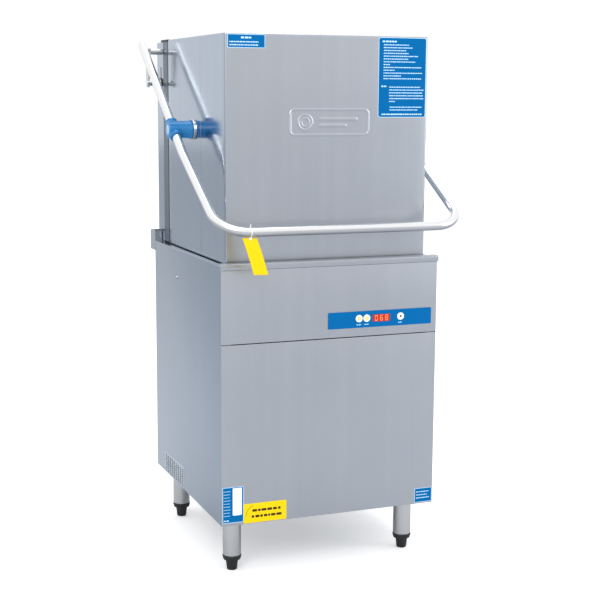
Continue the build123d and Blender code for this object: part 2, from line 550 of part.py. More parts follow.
def build_water():
    x, y, top = BOILER_X, BOILER_Y, BOILER_Z1
    shell = rod_z(x, y, BOILER_Z0, top, BOILER_R)
    shell = fillet(shell.edges(), BOILER_ROUND)
    shell -= offset(shell, amount=-PLATE)
    shell -= rod_z(x, y, BOILER_Z0 - THROUGH, BOILER_Z0 + THROUGH, PLUG_THREAD_R)
    shell += rod_z(x, y, top - PLATE / 2, top + BOILER_NECK, BOILER_NECK_R)
    piece("rinse_boiler", shell)
    end = BACK_Y + 1 + SPIGOT
    valve = rod_y(INLET_X, VALVE_Y[1] - PLATE, BACK_Y + 1, INLET_Z, INLET_R - GAP)
    valve += rod_y(INLET_X, BACK_Y + 1, end, INLET_Z, INLET_R)
    valve += block(INLET_X - VALVE_HALF, INLET_X + VALVE_HALF, *VALVE_Y, INLET_Z - VALVE_UP, INLET_Z + VALVE_UP)
    valve += rod_z(INLET_X, COIL_Y, INLET_Z + VALVE_UP, INLET_Z + COIL_UP, COIL_R)
    valve -= rod_y(INLET_X, INLET_BORE_Y, end + THROUGH, INLET_Z, INLET_BORE)
    piece("water_inlet_valve", valve)
    suction = [(VOLUTE_HALF + LAP, PUMP_Y, PUMP_Z), (SUCTION_X, PUMP_Y, PUMP_Z),
               (SUCTION_X, SUCTION_Y, SUMP_Z + 1)]
    drain = [(STANDPIPE_X, STANDPIPE_Y, SUMP_Z + SHEET - LAP), (STANDPIPE_X, STANDPIPE_Y, DRAIN_Z),
             (STANDPIPE_X, end, DRAIN_Z)]
    high = top + FEED_UP
    feed = [(INLET_X - VALVE_HALF - LAP, COIL_Y, INLET_Z), (FEED_X, COIL_Y, INLET_Z), (FEED_X, COIL_Y, high),
            (x, COIL_Y, high), (x, y, high), (x, y, top + BOILER_NECK + LAP)]
    spigot = rod_y(DRAIN_X, BACK_Y + 1, end, DRAIN_Z, DRAIN_R + 1)
    spigot -= rod_y(DRAIN_X, BACK_Y, end + THROUGH, DRAIN_Z, DRAIN_R - 1)
    piece("water_pipes", pipe(suction, HOSE_BEND, SUCTION_R, PLATE),
          pipe(drain, HOSE_BEND, DRAIN_R, PLATE) + spigot, pipe(feed, FEED_BEND, FEED_R, SHEET))
    nut = Rot(90, 0, 0) * extrude(RegularPolygon(GLAND_NUT_R, 6), GLAND_NUT_LONG)
    end = GLAND_Y[1] + GLAND_NUT_LONG
    gland = rod_y(GLAND_X, *GLAND_Y, GLAND_Z, GLAND_R) + Pos(GLAND_X, end, GLAND_Z) * nut
    gland -= rod_y(GLAND_X, GLAND_Y[0] - THROUGH, end + THROUGH, GLAND_Z, GLAND_BORE)
    piece("cable_gland", gland)


def build_controls():
    y0, y1 = BOX_Y[1] - CONTACTOR_DEEP, BOX_Y[1] - SHEET
    contactors = [block(x, x + CONTACTOR_W, y0, y1, z, z + CONTACTOR_TALL)
                  for x in CONTACTOR_X for z in CONTACTOR_Z]
    piece("electrical_box", tray(*BOX_X, *BOX_Y, *BOX_Z, SHEET, "-y"), *contactors)
    front, low, high = FRONT_Y - FASCIA_THICK, FRONT_Y - THROUGH, FRONT_Y + THROUGH
    fascia = block(*FASCIA_X, front, FRONT_Y, *FASCIA_Z)
    fascia = fillet(fascia.edges().filter_by(Axis.Y), FASCIA_ROUND)
    fascia -= block(*DISPLAY_X, low, high, *DISPLAY_Z)
    collar = FRONT_Y + BUTTON_SLACK
    for name, x in BUTTONS.items():
        fascia -= rod_y(x, low, high, BUTTON_Z, BUTTON_R + BUTTON_SLACK)
        cap = rod_y(x, front - BUTTON_PROUD, FRONT_Y + 1, BUTTON_Z, BUTTON_R)
        cap += rod_y(x, collar, collar + SHEET, BUTTON_Z, BUTTON_R + BUTTON_FLANGE)
        cap += rod_y(x, collar, BOARD_Y - BUTTON_TRAVEL - GAP, BUTTON_Z, PLUNGER_R)
        piece(name, cap)
    piece("control_fascia", fascia)
    x0, x1 = DISPLAY_X
    z0, z1 = DISPLAY_Z
    window = block(x0 + LAP, x1 - LAP, FRONT_Y - WINDOW_OUT, BOARD_Y, z0 + LAP, z1 - LAP)
    piece("display_board", window + block(*BOARD_X, BOARD_Y, BOARD_Y + SHEET, *BOARD_Z))


# ---- columns, rails and counterbalance ----------------------------------------------------
BUSH_R = 14.0
SHAFT_HALF = 341.0
PIVOT_R = 10.0
SLOT_Z = (1331.0, 1401.0)
LEVER_X = 210.0
LEVER_REACH = 60.0
LEVER_DROP = 31.5           # degrees below level at rest
LEVER_HALF, LEVER_DEEP, LEVER_HUB, LEVER_HUB_R, LEVER_EYE_R = 3.0, 9.0, 8.0, 18.0, 9.0
SPRING_PIN_HALF, SPRING_PIN_R = 12.0, 5.0
SPRING_R, SPRING_WIRE = 14.0, 3.5
SPRING_LOW = 22.0           # the coil starts this much above the pin
BRACKET_Z, BRACKET_HALF, TONGUE_HALF = 1466.0, 16.0, 20.0
SLOT_HALF = 4.0
TIGHT = 0.02                # light press fit
RAIL_LIP = 8.0
CAP_THICK, CAP_BACK = 7.0, 22.0
BUSH_OUT = 3.0
CROSS_Y = 381.3
CROSS_Z, CROSS_FRONT_Z = (840.0, 900.0), 850.0
COVER_Z = 902.0


def spring_pin():
    """Place of the levers' pins at rest."""
    angle = math.radians(LEVER_DROP)
    return PIVOT_Y - LEVER_REACH * math.cos(angle), PIVOT_Z - LEVER_REACH * math.sin(angle)


def column():
    """Right column: closed box section, bushed for the pivot shaft, slotted in its outer wall."""
    t = PLATE
    tube = block(COLUMN_X0, COLUMN_X1, COLUMN_Y0, COLUMN_Y1, TABLE_Z, COLUMN_TOP_Z)
    tube -= block(COLUMN_X0 + t, COLUMN_X1 - t, COLUMN_Y0 + t, COLUMN_Y1 - t, TABLE_Z - 1, COLUMN_TOP_Z + 1)
    tube -= rod_x(COLUMN_X0 - 1, COLUMN_X1 + 1, PIVOT_Y, PIVOT_Z, BUSH_R + TIGHT)
    return tube - block(COLUMN_X1 - t - 1, COLUMN_X1 + 1, PIVOT_Y - SLOT_HALF, PIVOT_Y + SLOT_HALF, *SLOT_Z)


def guide_rail():
    """Right rail: channel that opens to the front, with lips that hold the guide blocks."""
    t = PLATE
    y1, z0 = COLUMN_Y0 - LAP, TABLE_Z + t
    rail = block(RAIL_X0, COLUMN_X1, RAIL_Y0, y1, z0, COLUMN_TOP_Z)
    rail -= block(RAIL_X0 + t, COLUMN_X1 - t, RAIL_Y0 + t, y1 - t, z0 - 1, COLUMN_TOP_Z + 1)
    x0, x1 = RAIL_X0 + RAIL_LIP, COLUMN_X1 - RAIL_LIP
    return rail - block(x0, x1, RAIL_Y0 - 1, RAIL_Y0 + t + 1, z0 - 1, COLUMN_TOP_Z + 1)


def build_columns():
    piece("columns", *both(column()))
    piece("guide_rails", *both(guide_rail()))
    y0, y1 = RAIL_Y0 - 1, COLUMN_Y0 + CAP_BACK
    cap = block(RAIL_X0 - 2, COLUMN_X1 + 1, y0, y1, COLUMN_TOP_Z, COLUMN_TOP_Z + CAP_THICK)
    piece("rail_caps", *both(cap))
    cross = tray(-HALF_WIDTH, HALF_WIDTH, BACK_Y, CROSS_Y, *CROSS_Z, PLATE, "+z")
    x = COLUMN_X1 + PLATE
    gap = block(-x, x, BACK_Y - THROUGH, BACK_Y + PLATE + 1, CROSS_FRONT_Z, CROSS_Z[1] + THROUGH)
    piece("rear_crossmember", cross - gap)
    y = COLUMN_Y1 + LAP
    piece("rear_cover", block(-COLUMN_X1, COLUMN_X1, y, y + SHEET, COVER_Z, COLUMN_TOP_Z))
    x0, x1 = COLUMN_X0 - BUSH_OUT, COLUMN_X1 + BUSH_OUT
    bush = rod_x(x0, x1, PIVOT_Y, PIVOT_Z, BUSH_R) - rod_x(x0 - 1, x1 + 1, PIVOT_Y, PIVOT_Z, PIVOT_R + RUN_FIT)
    piece("pivot_bushes", *both(bush))
    pin_y, pin_z = spring_pin()
    z0, z1 = BRACKET_Z, BRACKET_Z + 2 * PLATE
    beam = block(-COLUMN_X0, COLUMN_X0, pin_y - BRACKET_HALF, pin_y + BRACKET_HALF, z0, z1)
    tongue = block(RAIL_X0 - 20.2, COLUMN_X0, COLUMN_Y0 - TONGUE_HALF, COLUMN_Y0 + TONGUE_HALF, z0, z1)
    piece("spring_beam", beam + tongue + mirrored(tongue))
    coil = rod_z(LEVER_X, pin_y, pin_z + SPRING_LOW, BRACKET_Z - GAP, SPRING_R)
    coil -= rod_z(LEVER_X, pin_y, pin_z, BRACKET_Z, SPRING_R - SPRING_WIRE)
    piece("counterbalance_springs", *both(coil))


# ---- hood ---------------------------------------------------------------------------------
SEAM_HALF = 0.4             # half the gap between the two halves of the hood
STAMP_X, STAMP_Z, STAMP_PROUD = (-114.5, 120.7), (1210.0, 1284.0), 1.6
STAMP_ROUND = 8.0
BOSS_OUT, BOSS_R = 4.4, 28.0
ROOF_DEEP, ROOF_INSET = 20.0, HOOD_SHEET + LAP
GUIDE_Z = ((884.0, 926.0), (1020.0, 1062.0))
GUIDE_NECK, GUIDE_HALF = 10.0, 17.0
GUIDE_Y = (RAIL_Y0 + 3.0, COLUMN_Y0 - 5.0)
LABEL = 0.3
LABEL_TOP_Z = 1477.0
LEFT_LABEL_X, LEFT_LABEL_Z = (-288.0, -183.5), 1441.0
RIGHT_LABEL_X, RIGHT_LABEL_Z = (146.0, 291.0), 1260.0


def hood_wall(y0, y1, end):
    """U-shaped sheet: one end wall at the front or back and two side returns."""
    t = HOOD_SHEET
    outer = block(-HOOD_HALF, HOOD_HALF, y0, y1, HOOD_BOTTOM_Z, HOOD_TOP_Z)
    group = 0 if end == "front" else -1
    corner = outer.edges().filter_by(Axis.Z).group_by(Axis.Y)[group]
    outer = fillet(corner, HOOD_CORNER_R)
    in0, in1 = (y0 + t, y1 + 1) if end == "front" else (y0 - 1, y1 - t)
    inner = block(-HOOD_HALF + t, HOOD_HALF - t, in0, in1, HOOD_BOTTOM_Z - 1, HOOD_TOP_Z + 1)
    inner = fillet(inner.edges().filter_by(Axis.Z).group_by(Axis.Y)[group], HOOD_CORNER_R - t)
    return outer - inner


def build_hood():
    front = hood_wall(HOOD_FRONT_Y, HOOD_SEAM_Y - SEAM_HALF, "front")
    stamp = block(*STAMP_X, HOOD_FRONT_Y - STAMP_PROUD, HOOD_FRONT_Y + LAP, *STAMP_Z)
    piece("hood_front", front + fillet(stamp.edges().filter_by(Axis.Y), STAMP_ROUND))
    rear = hood_wall(HOOD_SEAM_Y + SEAM_HALF, HOOD_BACK_Y, "rear")
    inner, outer = HOOD_HALF - HOOD_SHEET / 2, HOOD_HALF + BOSS_OUT
    for sx in (-1, 1):
        rear += rod_x(sx * inner, sx * outer, SLEEVE_Y, SLEEVE_Z, BOSS_R)
    piece("hood_rear", rear)
    t, inset, top = HOOD_SHEET, ROOF_INSET, HOOD_TOP_Z - SEAM_HALF
    x, y0, y1 = HOOD_HALF - inset, HOOD_FRONT_Y + inset, HOOD_BACK_Y - inset
    roof = block(-x, x, y0, y1, HOOD_TOP_Z - ROOF_DEEP, top)
    roof = fillet(roof.edges().filter_by(Axis.Z), HOOD_CORNER_R - t)
    roof -= block(-x + t, x - t, y0 + t, y1 - t, HOOD_TOP_Z - ROOF_DEEP - 1, top - t)
    piece("hood_roof", roof)
    mid = (RAIL_X0 + COLUMN_X1) / 2
    guides = []
    for z0, z1 in GUIDE_Z:
        guide = block(mid - GUIDE_NECK, mid + GUIDE_NECK, HOOD_BACK_Y, GUIDE_Y[0] + 1, z0, z1)
        guide += block(mid - GUIDE_HALF, mid + GUIDE_HALF, *GUIDE_Y, z0, z1)
        guides += both(guide)
    piece("hood_guides", *guides)
    y0, y1 = HOOD_FRONT_Y - LABEL, HOOD_FRONT_Y
    left = block(*LEFT_LABEL_X, y0, y1, LEFT_LABEL_Z, LABEL_TOP_Z)
    piece("hood_labels", left, block(*RIGHT_LABEL_X, y0, y1, RIGHT_LABEL_Z, LABEL_TOP_Z))


# ---- handle -------------------------------------------------------------------------------
CORNER_BEND, KINK_BEND = 100.0, 84.0
LUG_X = (ARM_X - TUBE_R - 5.0, ARM_X - TUBE_R)
LUG_HALF, LUG_R = 14.0, 15.0
PEG_Y, PEG_R = 306.0, 9.0
SLEEVE_X0, SLEEVE_X1 = 301.0, 368.0
SLEEVE_R, SLEEVE_BEAD = 24.5, 5.0
COLLAR_R, COLLAR_HALF = 18.0, 33.0
TIE_X, TIE_HALF, TIE_THICK = -270.0, 2.0, 1.5
TAG_X, TAG_LONG, TAG_DROP, TAG_THICK = (-277.0, -235.0), 100.0, 5.0, 0.6


def arm_z(y):
    """Height of the arm's centre line at depth y."""
    high = SLEEVE_Z + ARM_SLOPE * (y - SLEEVE_Y)
    if y >= KINK_Y:
        return high
    return arm_z(KINK_Y) - ARM_LOW_SLOPE * (KINK_Y - y)


def build_handle():
    y, z, peg_z = PIVOT_Y, PIVOT_Z, arm_z(PEG_Y)
    half = [(ARM_X, depth, arm_z(depth)) for depth in (ARM_TOP_Y, KINK_Y, BAR_Y)]
    points = [(-x, depth, height) for x, depth, height in half] + half[::-1]
    piece("handle_tube", pipe(points, [CORNER_BEND, KINK_BEND, KINK_BEND, CORNER_BEND], TUBE_R, TUBE_WALL))
    piece("pivot_shaft", rod_x(-SHAFT_HALF, SHAFT_HALF, y, z, PIVOT_R))
    lug = block(*LUG_X, y - LUG_HALF, y + LUG_HALF, z, arm_z(y) - PEG_R) + rod_x(*LUG_X, y, z, LUG_R)
    lug += block(*LUG_X, PEG_Y - PEG_R, y, peg_z - PEG_R, peg_z + PEG_R)
    lug += rod_x(COLUMN_X1 + 2, LUG_X[1], PEG_Y, peg_z, PEG_R)
    lug -= rod_x(LUG_X[0] - 1, LUG_X[1] + 1, y, z, PIVOT_R + TIGHT)
    pin_y, pin_z = spring_pin()
    x0, x1 = LEVER_X - LEVER_HALF, LEVER_X + LEVER_HALF
    lever = Pos(0, y, z) * Rot(LEVER_DROP, 0, 0) * block(x0, x1, -LEVER_REACH, 0, -LEVER_DEEP, LEVER_DEEP)
    lever += rod_x(LEVER_X - LEVER_HUB, LEVER_X + LEVER_HUB, y, z, LEVER_HUB_R)
    lever += rod_x(x0, x1, pin_y, pin_z, LEVER_EYE_R)
    lever += rod_x(LEVER_X - SPRING_PIN_HALF, LEVER_X + SPRING_PIN_HALF, pin_y, pin_z, SPRING_PIN_R)
    lever -= rod_x(LEVER_X - LEVER_HUB - 1, LEVER_X + LEVER_HUB + 1, y, z, PIVOT_R + TIGHT)
    piece("shaft_levers", *both(lug), *both(lever))


def build_sleeves():
    """Moulded T-piece: a drum along X and a collar that slides on the arm."""
    angle = math.degrees(math.atan(ARM_SLOPE))
    drum = rod_x(SLEEVE_X0, SLEEVE_X1, SLEEVE_Y, SLEEVE_Z, SLEEVE_R)
    drum += rod_x(SLEEVE_X0, SLEEVE_X0 + SLEEVE_BEAD, SLEEVE_Y, SLEEVE_Z, SLEEVE_R + SLEEVE_BEAD / 2)
    along = Pos(ARM_X, SLEEVE_Y, SLEEVE_Z) * Rot(angle - 90, 0, 0)
    sleeve = drum + along * Cylinder(COLLAR_R, 2 * COLLAR_HALF)
    sleeve -= along * Cylinder(TUBE_R + RUN_FIT, 3 * COLLAR_HALF)
    piece("sleeve_right", sleeve)
    piece("sleeve_left", mirrored(sleeve))


def build_tag():
    """Cable tie round the front bar and the strip that hangs from it."""
    y, z = BAR_Y, arm_z(BAR_Y)
    x0, x1 = TIE_X - TIE_HALF, TIE_X + TIE_HALF
    top = z - TUBE_R - TAG_DROP
    tie = rod_x(x0, x1, y, z, TUBE_R + GAP + TIE_THICK) - rod_x(x0 - 1, x1 + 1, y, z, TUBE_R + GAP)
    tie += block(x0 - 1, x1 + 1, y - TIE_HALF, y + TIE_HALF, top, z - TUBE_R - 1)
    piece("hang_tag", tie, block(*TAG_X, y - TAG_THICK, y, top - TAG_LONG, top - LAP))


# ---- base labels --------------------------------------------------------------------------
FRONT_LABELS = (            # x0, x1, z0, z1
    (-317.5, -257.2, 163.0, 264.0),
    (-257.0, -132.0, 157.0, 212.0),
    (263.0, 318.0, 159.0, 201.0),
)
DATA_PLATE_Y, DATA_PLATE_Z = (30.0, 235.0), (157.0, 222.0)


def build_labels():
    y = FRONT_Y
    labels = [block(x0, x1, y - LABEL, y, z0, z1) for x0, x1, z0, z1 in FRONT_LABELS]
    data_plate = block(-HALF_WIDTH - LABEL, -HALF_WIDTH, *DATA_PLATE_Y, *DATA_PLATE_Z)
    piece("base_labels", *labels, data_plate)


# ---- write --------------------------------------------------------------------------------
def write_pieces():
    os.makedirs("parts", exist_ok=True)
    for name, shapes in PIECES.items():
        solids = [solid for shape in shapes for solid in shape.solids()]
        moved = [Pos(0, ORIGIN_Y, 0) * solid for solid in solids]
        whole = moved[0] if len(moved) == 1 else Compound(children=moved)
        export_step(whole, f"parts/{name}.step")
    print(len(PIECES), "pieces")


build_cabinet()
build_rim()
build_legs()
build_tank()
build_arms()
build_pump()
build_water()
build_controls()
build_columns()
build_hood()
build_handle()
build_sleeves()
build_tag()
build_labels()
write_pieces()
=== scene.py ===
import json
import math

import bpy
import numpy as np
from mathutils import Matrix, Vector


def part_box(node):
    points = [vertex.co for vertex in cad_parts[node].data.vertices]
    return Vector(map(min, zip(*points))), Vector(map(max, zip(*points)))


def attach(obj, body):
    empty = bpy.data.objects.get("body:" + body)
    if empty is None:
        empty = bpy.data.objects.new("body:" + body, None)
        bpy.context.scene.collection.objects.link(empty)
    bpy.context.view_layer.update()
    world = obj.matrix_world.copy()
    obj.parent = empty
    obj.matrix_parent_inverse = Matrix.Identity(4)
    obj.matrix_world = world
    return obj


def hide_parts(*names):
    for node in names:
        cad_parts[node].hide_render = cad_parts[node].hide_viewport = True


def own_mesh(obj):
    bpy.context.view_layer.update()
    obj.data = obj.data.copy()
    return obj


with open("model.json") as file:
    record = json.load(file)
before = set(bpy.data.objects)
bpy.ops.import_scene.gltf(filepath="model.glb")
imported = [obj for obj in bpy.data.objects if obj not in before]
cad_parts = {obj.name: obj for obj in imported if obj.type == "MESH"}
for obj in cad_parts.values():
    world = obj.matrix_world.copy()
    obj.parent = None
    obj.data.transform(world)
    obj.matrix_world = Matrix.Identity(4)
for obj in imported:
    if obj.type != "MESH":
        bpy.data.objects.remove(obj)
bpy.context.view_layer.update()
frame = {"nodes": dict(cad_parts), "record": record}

# Looks of a hood-type commercial dishwasher, in metres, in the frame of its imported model.
MM = 0.001
TAU = 2 * math.pi
X_AXIS, Y_AXIS, Z_AXIS = np.eye(3)


# ---- camera, floor and light --------------------------------------------------------------
CAMERA_AT = (-1.36898, -3.55118, 1.32227)
CAMERA_YAW, CAMERA_PITCH, CAMERA_ROLL = 21.4217, -8.9977, 0.3514
CAMERA_LENS = 78.06


def place_camera():
    """Camera turned by yaw about Z from the +Y direction, then by pitch, then by roll."""
    yaw, pitch, roll = (math.radians(a) for a in (CAMERA_YAW, CAMERA_PITCH, CAMERA_ROLL))
    forward = np.array([math.sin(yaw) * math.cos(pitch), math.cos(yaw) * math.cos(pitch), math.sin(pitch)])
    level = np.array([math.cos(yaw), -math.sin(yaw), 0.0])
    up = np.cross(level, forward)
    right = level * math.cos(roll) + up * math.sin(roll)
    up = up * math.cos(roll) - level * math.sin(roll)
    data = bpy.data.cameras.new("camera")
    data.lens, data.sensor_width = CAMERA_LENS, 36.0
    data.clip_end = 200.0
    camera = bpy.data.objects.new("camera", data)
    bpy.context.scene.collection.objects.link(camera)
    turn = np.column_stack([right, up, -forward])
    camera.matrix_world = Matrix.Translation(CAMERA_AT) @ Matrix(turn.tolist()).to_4x4()
    bpy.context.scene.camera = camera


def area_light(name, place, target, size, power, colour):
    """Square soft light at a place, facing a target."""
    data = bpy.data.lights.new(name, "AREA")
    data.size, data.energy, data.color = size, power, colour
    lamp = bpy.data.objects.new(name, data)
    bpy.context.scene.collection.objects.link(lamp)
    aim = np.array(place) - np.array(target)
    aim = aim / np.linalg.norm(aim)
    side = np.cross(Z_AXIS, aim)
    side = side / np.linalg.norm(side)
    turn = np.column_stack([side, np.cross(aim, side), aim])
    lamp.matrix_world = Matrix.Translation(place) @ Matrix(turn.tolist()).to_4x4()


def light_studio():
    """Pale world, a broad key from the front left, a fill from the right and one from above."""
    bpy.context.scene.view_settings.view_transform = "Standard"
    world = bpy.data.worlds.new("studio")
    world.use_nodes = True
    world.node_tree.nodes["Background"].inputs["Color"].default_value = (0.97, 0.98, 1.0, 1.0)
    world.node_tree.nodes["Background"].inputs["Strength"].default_value = 1.04
    bpy.context.scene.world = world
    middle = (0.0, 0.0, 0.8)
    area_light("key", (-2.6, -3.6, 3.4), middle, 2.4, 90.0, (1.0, 0.98, 0.95))
    area_light("fill", (3.6, -2.4, 2.0), middle, 2.6, 40.0, (0.94, 0.97, 1.0))
    area_light("top", (0.2, 0.6, 4.2), middle, 2.0, 40.0, (1.0, 1.0, 1.0))


# ---- mesh building ------------------------------------------------------------------------
def grid_faces(rows, cols, closed_rows=False, closed_cols=False):
    """Quads between neighbours of a rows by cols grid, joined round where it is closed."""
    r = np.arange(rows if closed_rows else rows - 1)[:, None]
    c = np.arange(cols if closed_cols else cols - 1)[None, :]
    r1, c1 = (r + 1) % rows, (c + 1) % cols
    quads = np.stack(np.broadcast_arrays(r * cols + c, r * cols + c1, r1 * cols + c1, r1 * cols + c), -1)
    return quads.reshape(-1, 4).tolist()


def lofted(rings, caps=True):
    """Closed skin over a stack of rings (ring, point, xyz), with a flat face over each end ring."""
    rows, cols, _ = rings.shape
    faces = grid_faces(rows, cols, closed_cols=True)
    if caps:
        faces.append(list(range(cols))[::-1])
        faces.append(list(range((rows - 1) * cols, rows * cols)))
    return rings.reshape(-1, 3), faces


def circle_of(count):
    """Unit circle as count points in the plane."""
    angle = np.linspace(0, TAU, count, endpoint=False)
    return np.stack([np.cos(angle), np.sin(angle)], -1)


def side_axes(axis):
    """Two unit vectors square to an axis and to each other."""
    helper = X_AXIS if abs(axis[0]) < 0.9 else Y_AXIS
    first = np.cross(helper, axis)
    first = first / np.linalg.norm(first)
    return first, np.cross(axis, first)


def turned(profile, origin, axis, count=48):
    """Lathe shape: each (radius, height) of the profile becomes a circle round the axis."""
    axis = np.asarray(axis, float) / np.linalg.norm(axis)
    a, b = side_axes(axis)
    ring = circle_of(count)
    radius, height = np.asarray(profile, float).T
    flat = ring[None, :, :1] * a + ring[None, :, 1:] * b
    return lofted(np.asarray(origin) + radius[:, None, None] * flat + height[:, None, None] * axis)


def arc(centre, radius, start, end, steps=6):
    """Points of a circular arc in a profile, angles in degrees."""
    angle = np.radians(np.linspace(start, end, steps))
    return np.stack([centre[0] + radius * np.cos(angle), centre[1] + radius * np.sin(angle)], -1)


def rounded_outline(half_w, half_h, corner, steps=6):
    """Rectangle outline with quarter circles at its corners, anticlockwise."""
    centres = [(half_w - corner, half_h - corner), (corner - half_w, half_h - corner),
               (corner - half_w, corner - half_h), (half_w - corner, corner - half_h)]
    return np.concatenate([arc(c, corner, 90 * i, 90 * i + 90, steps) for i, c in enumerate(centres)])


def slab(low, high, face, corner, edge, steps=6):
    """Plate between two corners. A rounded rectangle is carried through its thickness and drawn in
    by edge * (1 - cos) near both faces, so that every edge is round. face is the thin axis."""
    low, high = np.asarray(low, float), np.asarray(high, float)
    u, v = [i for i in range(3) if i != face]
    if face == 1:
        u, v = v, u
    middle, half = (low + high) / 2, (high - low) / 2
    edge = min(edge, half[face] * 0.98)
    angle = np.radians(np.linspace(0, 90, 5))
    inset = np.concatenate([edge * (1 - np.sin(angle)), edge * (1 - np.cos(angle))])
    near, far = -half[face], half[face]
    depth = np.concatenate([near + edge * (1 - np.cos(angle)), far - edge * (1 - np.sin(angle))])
    rings = np.empty((len(inset), 4 * steps, 3))
    for i, (inward, level) in enumerate(zip(inset, depth)):
        outline = rounded_outline(half[u] - inward, half[v] - inward, max(corner - inward, edge * 0.2), steps)
        rings[i, :, u] = middle[u] + outline[:, 0]
        rings[i, :, v] = middle[v] + outline[:, 1]
        rings[i, :, face] = middle[face] + level
    return lofted(rings)


def bar_along(profile, start, end):
    """Closed outline (y, z) carried straight along X from start to end."""
    profile = np.asarray(profile, float)
    rings = np.empty((2, len(profile), 3))
    rings[:, :, 0] = np.array([start, end])[:, None]
    rings[:, :, 1:] = profile
    return lofted(rings)


def rounded_route(corners, radii, steps=14):
    """Straight runs through the corners, each corner cut by a tangent arc of its own radius."""
    corners = np.asarray(corners, float)
    points = [corners[:1]]
    for before, at, after, radius in zip(corners, corners[1:], corners[2:], radii):
        back, on = before - at, after - at
        back, on = back / np.linalg.norm(back), on / np.linalg.norm(on)
        half = math.acos(float(np.clip(back @ on, -1, 1))) / 2
        reach = radius / math.tan(half)
        centre = at + (back + on) / np.linalg.norm(back + on) * radius / math.sin(half)
        start, end = at + back * reach - centre, at + on * reach - centre
        share = np.linspace(0, 1, steps)[:, None]
        sweep = math.pi - 2 * half
        blend = np.sin((1 - share) * sweep) * start + np.sin(share * sweep) * end
        points.append(centre + blend / math.sin(sweep))
    points.append(corners[-1:])
    return np.concatenate(points)


def tube(route, radius, up, count=24):
    """Circle of the given radius (one value or one a point) carried along a route. The circle's
    first axis is up made square to the tangent, its second the cross product of the two."""
    tangent = np.gradient(route, axis=0)
    tangent /= np.linalg.norm(tangent, axis=1, keepdims=True)
    first = np.asarray(up, float) - (tangent @ np.asarray(up, float))[:, None] * tangent
    first /= np.linalg.norm(first, axis=1, keepdims=True)
    second = np.cross(tangent, first)
    ring = circle_of(count)
    size = np.broadcast_to(radius, (len(route),))[:, None, None]
    outward = ring[None, :, :1] * first[:, None] + ring[None, :, 1:] * second[:, None]
    return lofted(route[:, None] + size * outward)


def domed(route, radius, steps=6):
    """Route and radii with a half ball added at both ends."""
    angle = np.radians(np.linspace(4, 90, steps))
    before, after = route[0] - route[1], route[-1] - route[-2]
    out = radius * np.cos(angle)[:-1, None]
    size = radius * np.sin(angle)[:-1]
    starts = route[0] + before / np.linalg.norm(before) * out
    ends = route[-1] + after / np.linalg.norm(after) * out
    line = np.concatenate([starts, route, ends[::-1]])
    return line, np.concatenate([size, np.full(len(route), radius), size[::-1]])


def mirrored(part):
    """The part on the other side of the YZ plane, its faces turned to look outwards."""
    points, faces = part
    return points * (-1, 1, 1), [face[::-1] for face in faces]


def both(part):
    """The part and its mirror image."""
    return [part, mirrored(part)]


def piece(name, parts, finish, body, node=None, sharp=40.0):
    """One object made of one or more (points, faces) parts, with its finish, body and CAD node."""
    points, faces, offset = [], [], 0
    for part_points, part_faces in parts:
        points.append(part_points)
        faces += [[i + offset for i in face] for face in part_faces]
        offset += len(part_points)
    mesh = bpy.data.meshes.new(name)
    mesh.from_pydata(np.concatenate(points).tolist(), [], faces)
    mesh.materials.append(FINISHES[finish])
    mesh.shade_smooth()
    mesh.set_sharp_from_angle(angle=math.radians(sharp))
    made = bpy.data.objects.new(name, mesh)
    bpy.context.scene.collection.objects.link(made)
    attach(made, body)
    if node:
        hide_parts(node)
    return made


def thicken(made, wall):
    """Gives a single skin its sheet thickness, inwards."""
    solid = made.modifiers.new("sheet thickness", "SOLIDIFY")
    solid.thickness, solid.offset = wall, -1.0


# ---- shared effects -----------------------------------------------------------------------
def new_group(name, inputs, outputs):
    """Empty node group with named sockets, and its input and output nodes."""
    tree = bpy.data.node_groups.new(name, "ShaderNodeTree")
    for label, kind, default in inputs:
        socket = tree.interface.new_socket(label, in_out="INPUT", socket_type=kind)
        if default is not None:
            socket.default_value = default
    for label, kind in outputs:
        tree.interface.new_socket(label, in_out="OUTPUT", socket_type=kind)
    return tree, tree.nodes.new("NodeGroupInput"), tree.nodes.new("NodeGroupOutput")


def maths(tree, operation, first, second, third=None):
    """Math node on sockets or numbers; gives its result socket."""
    node = tree.nodes.new("ShaderNodeMath")
    node.operation = operation
    for i, value in enumerate((first, second, third)):
        if value is None:
            continue
        if hasattr(value, "is_linked"):
            tree.links.new(value, node.inputs[i])
        else:
            node.inputs[i].default_value = value
    return node.outputs[0]


def noise(tree, vector, scale, detail, roughness=0.5):
    """Noise value of a vector socket."""
    node = tree.nodes.new("ShaderNodeTexNoise")
    tree.links.new(vector, node.inputs["Vector"])
    node.inputs["Scale"].default_value = scale
    node.inputs["Detail"].default_value = detail
    node.inputs["Roughness"].default_value = roughness
    return node.outputs["Fac"]


def brushed_lines_group():
    """Fine lines drawn out along one direction: noise on a vector squeezed along the brushing."""
    tree, given, result = new_group(
        "brushed_lines",
        [("Vector", "NodeSocketVector", None), ("Squeeze", "NodeSocketVector", (1.0, 1.0, 0.01))],
        [("Lines", "NodeSocketFloat"), ("Bands", "NodeSocketFloat")])
    squeeze = tree.nodes.new("ShaderNodeVectorMath")
    squeeze.operation = "MULTIPLY"
    tree.links.new(given.outputs["Vector"], squeeze.inputs[0])
    tree.links.new(given.outputs["Squeeze"], squeeze.inputs[1])
    tree.links.new(noise(tree, squeeze.outputs[0], 900.0, 3.0, 0.6), result.inputs["Lines"])
    tree.links.new(noise(tree, squeeze.outputs[0], 26.0, 2.0), result.inputs["Bands"])
    return tree


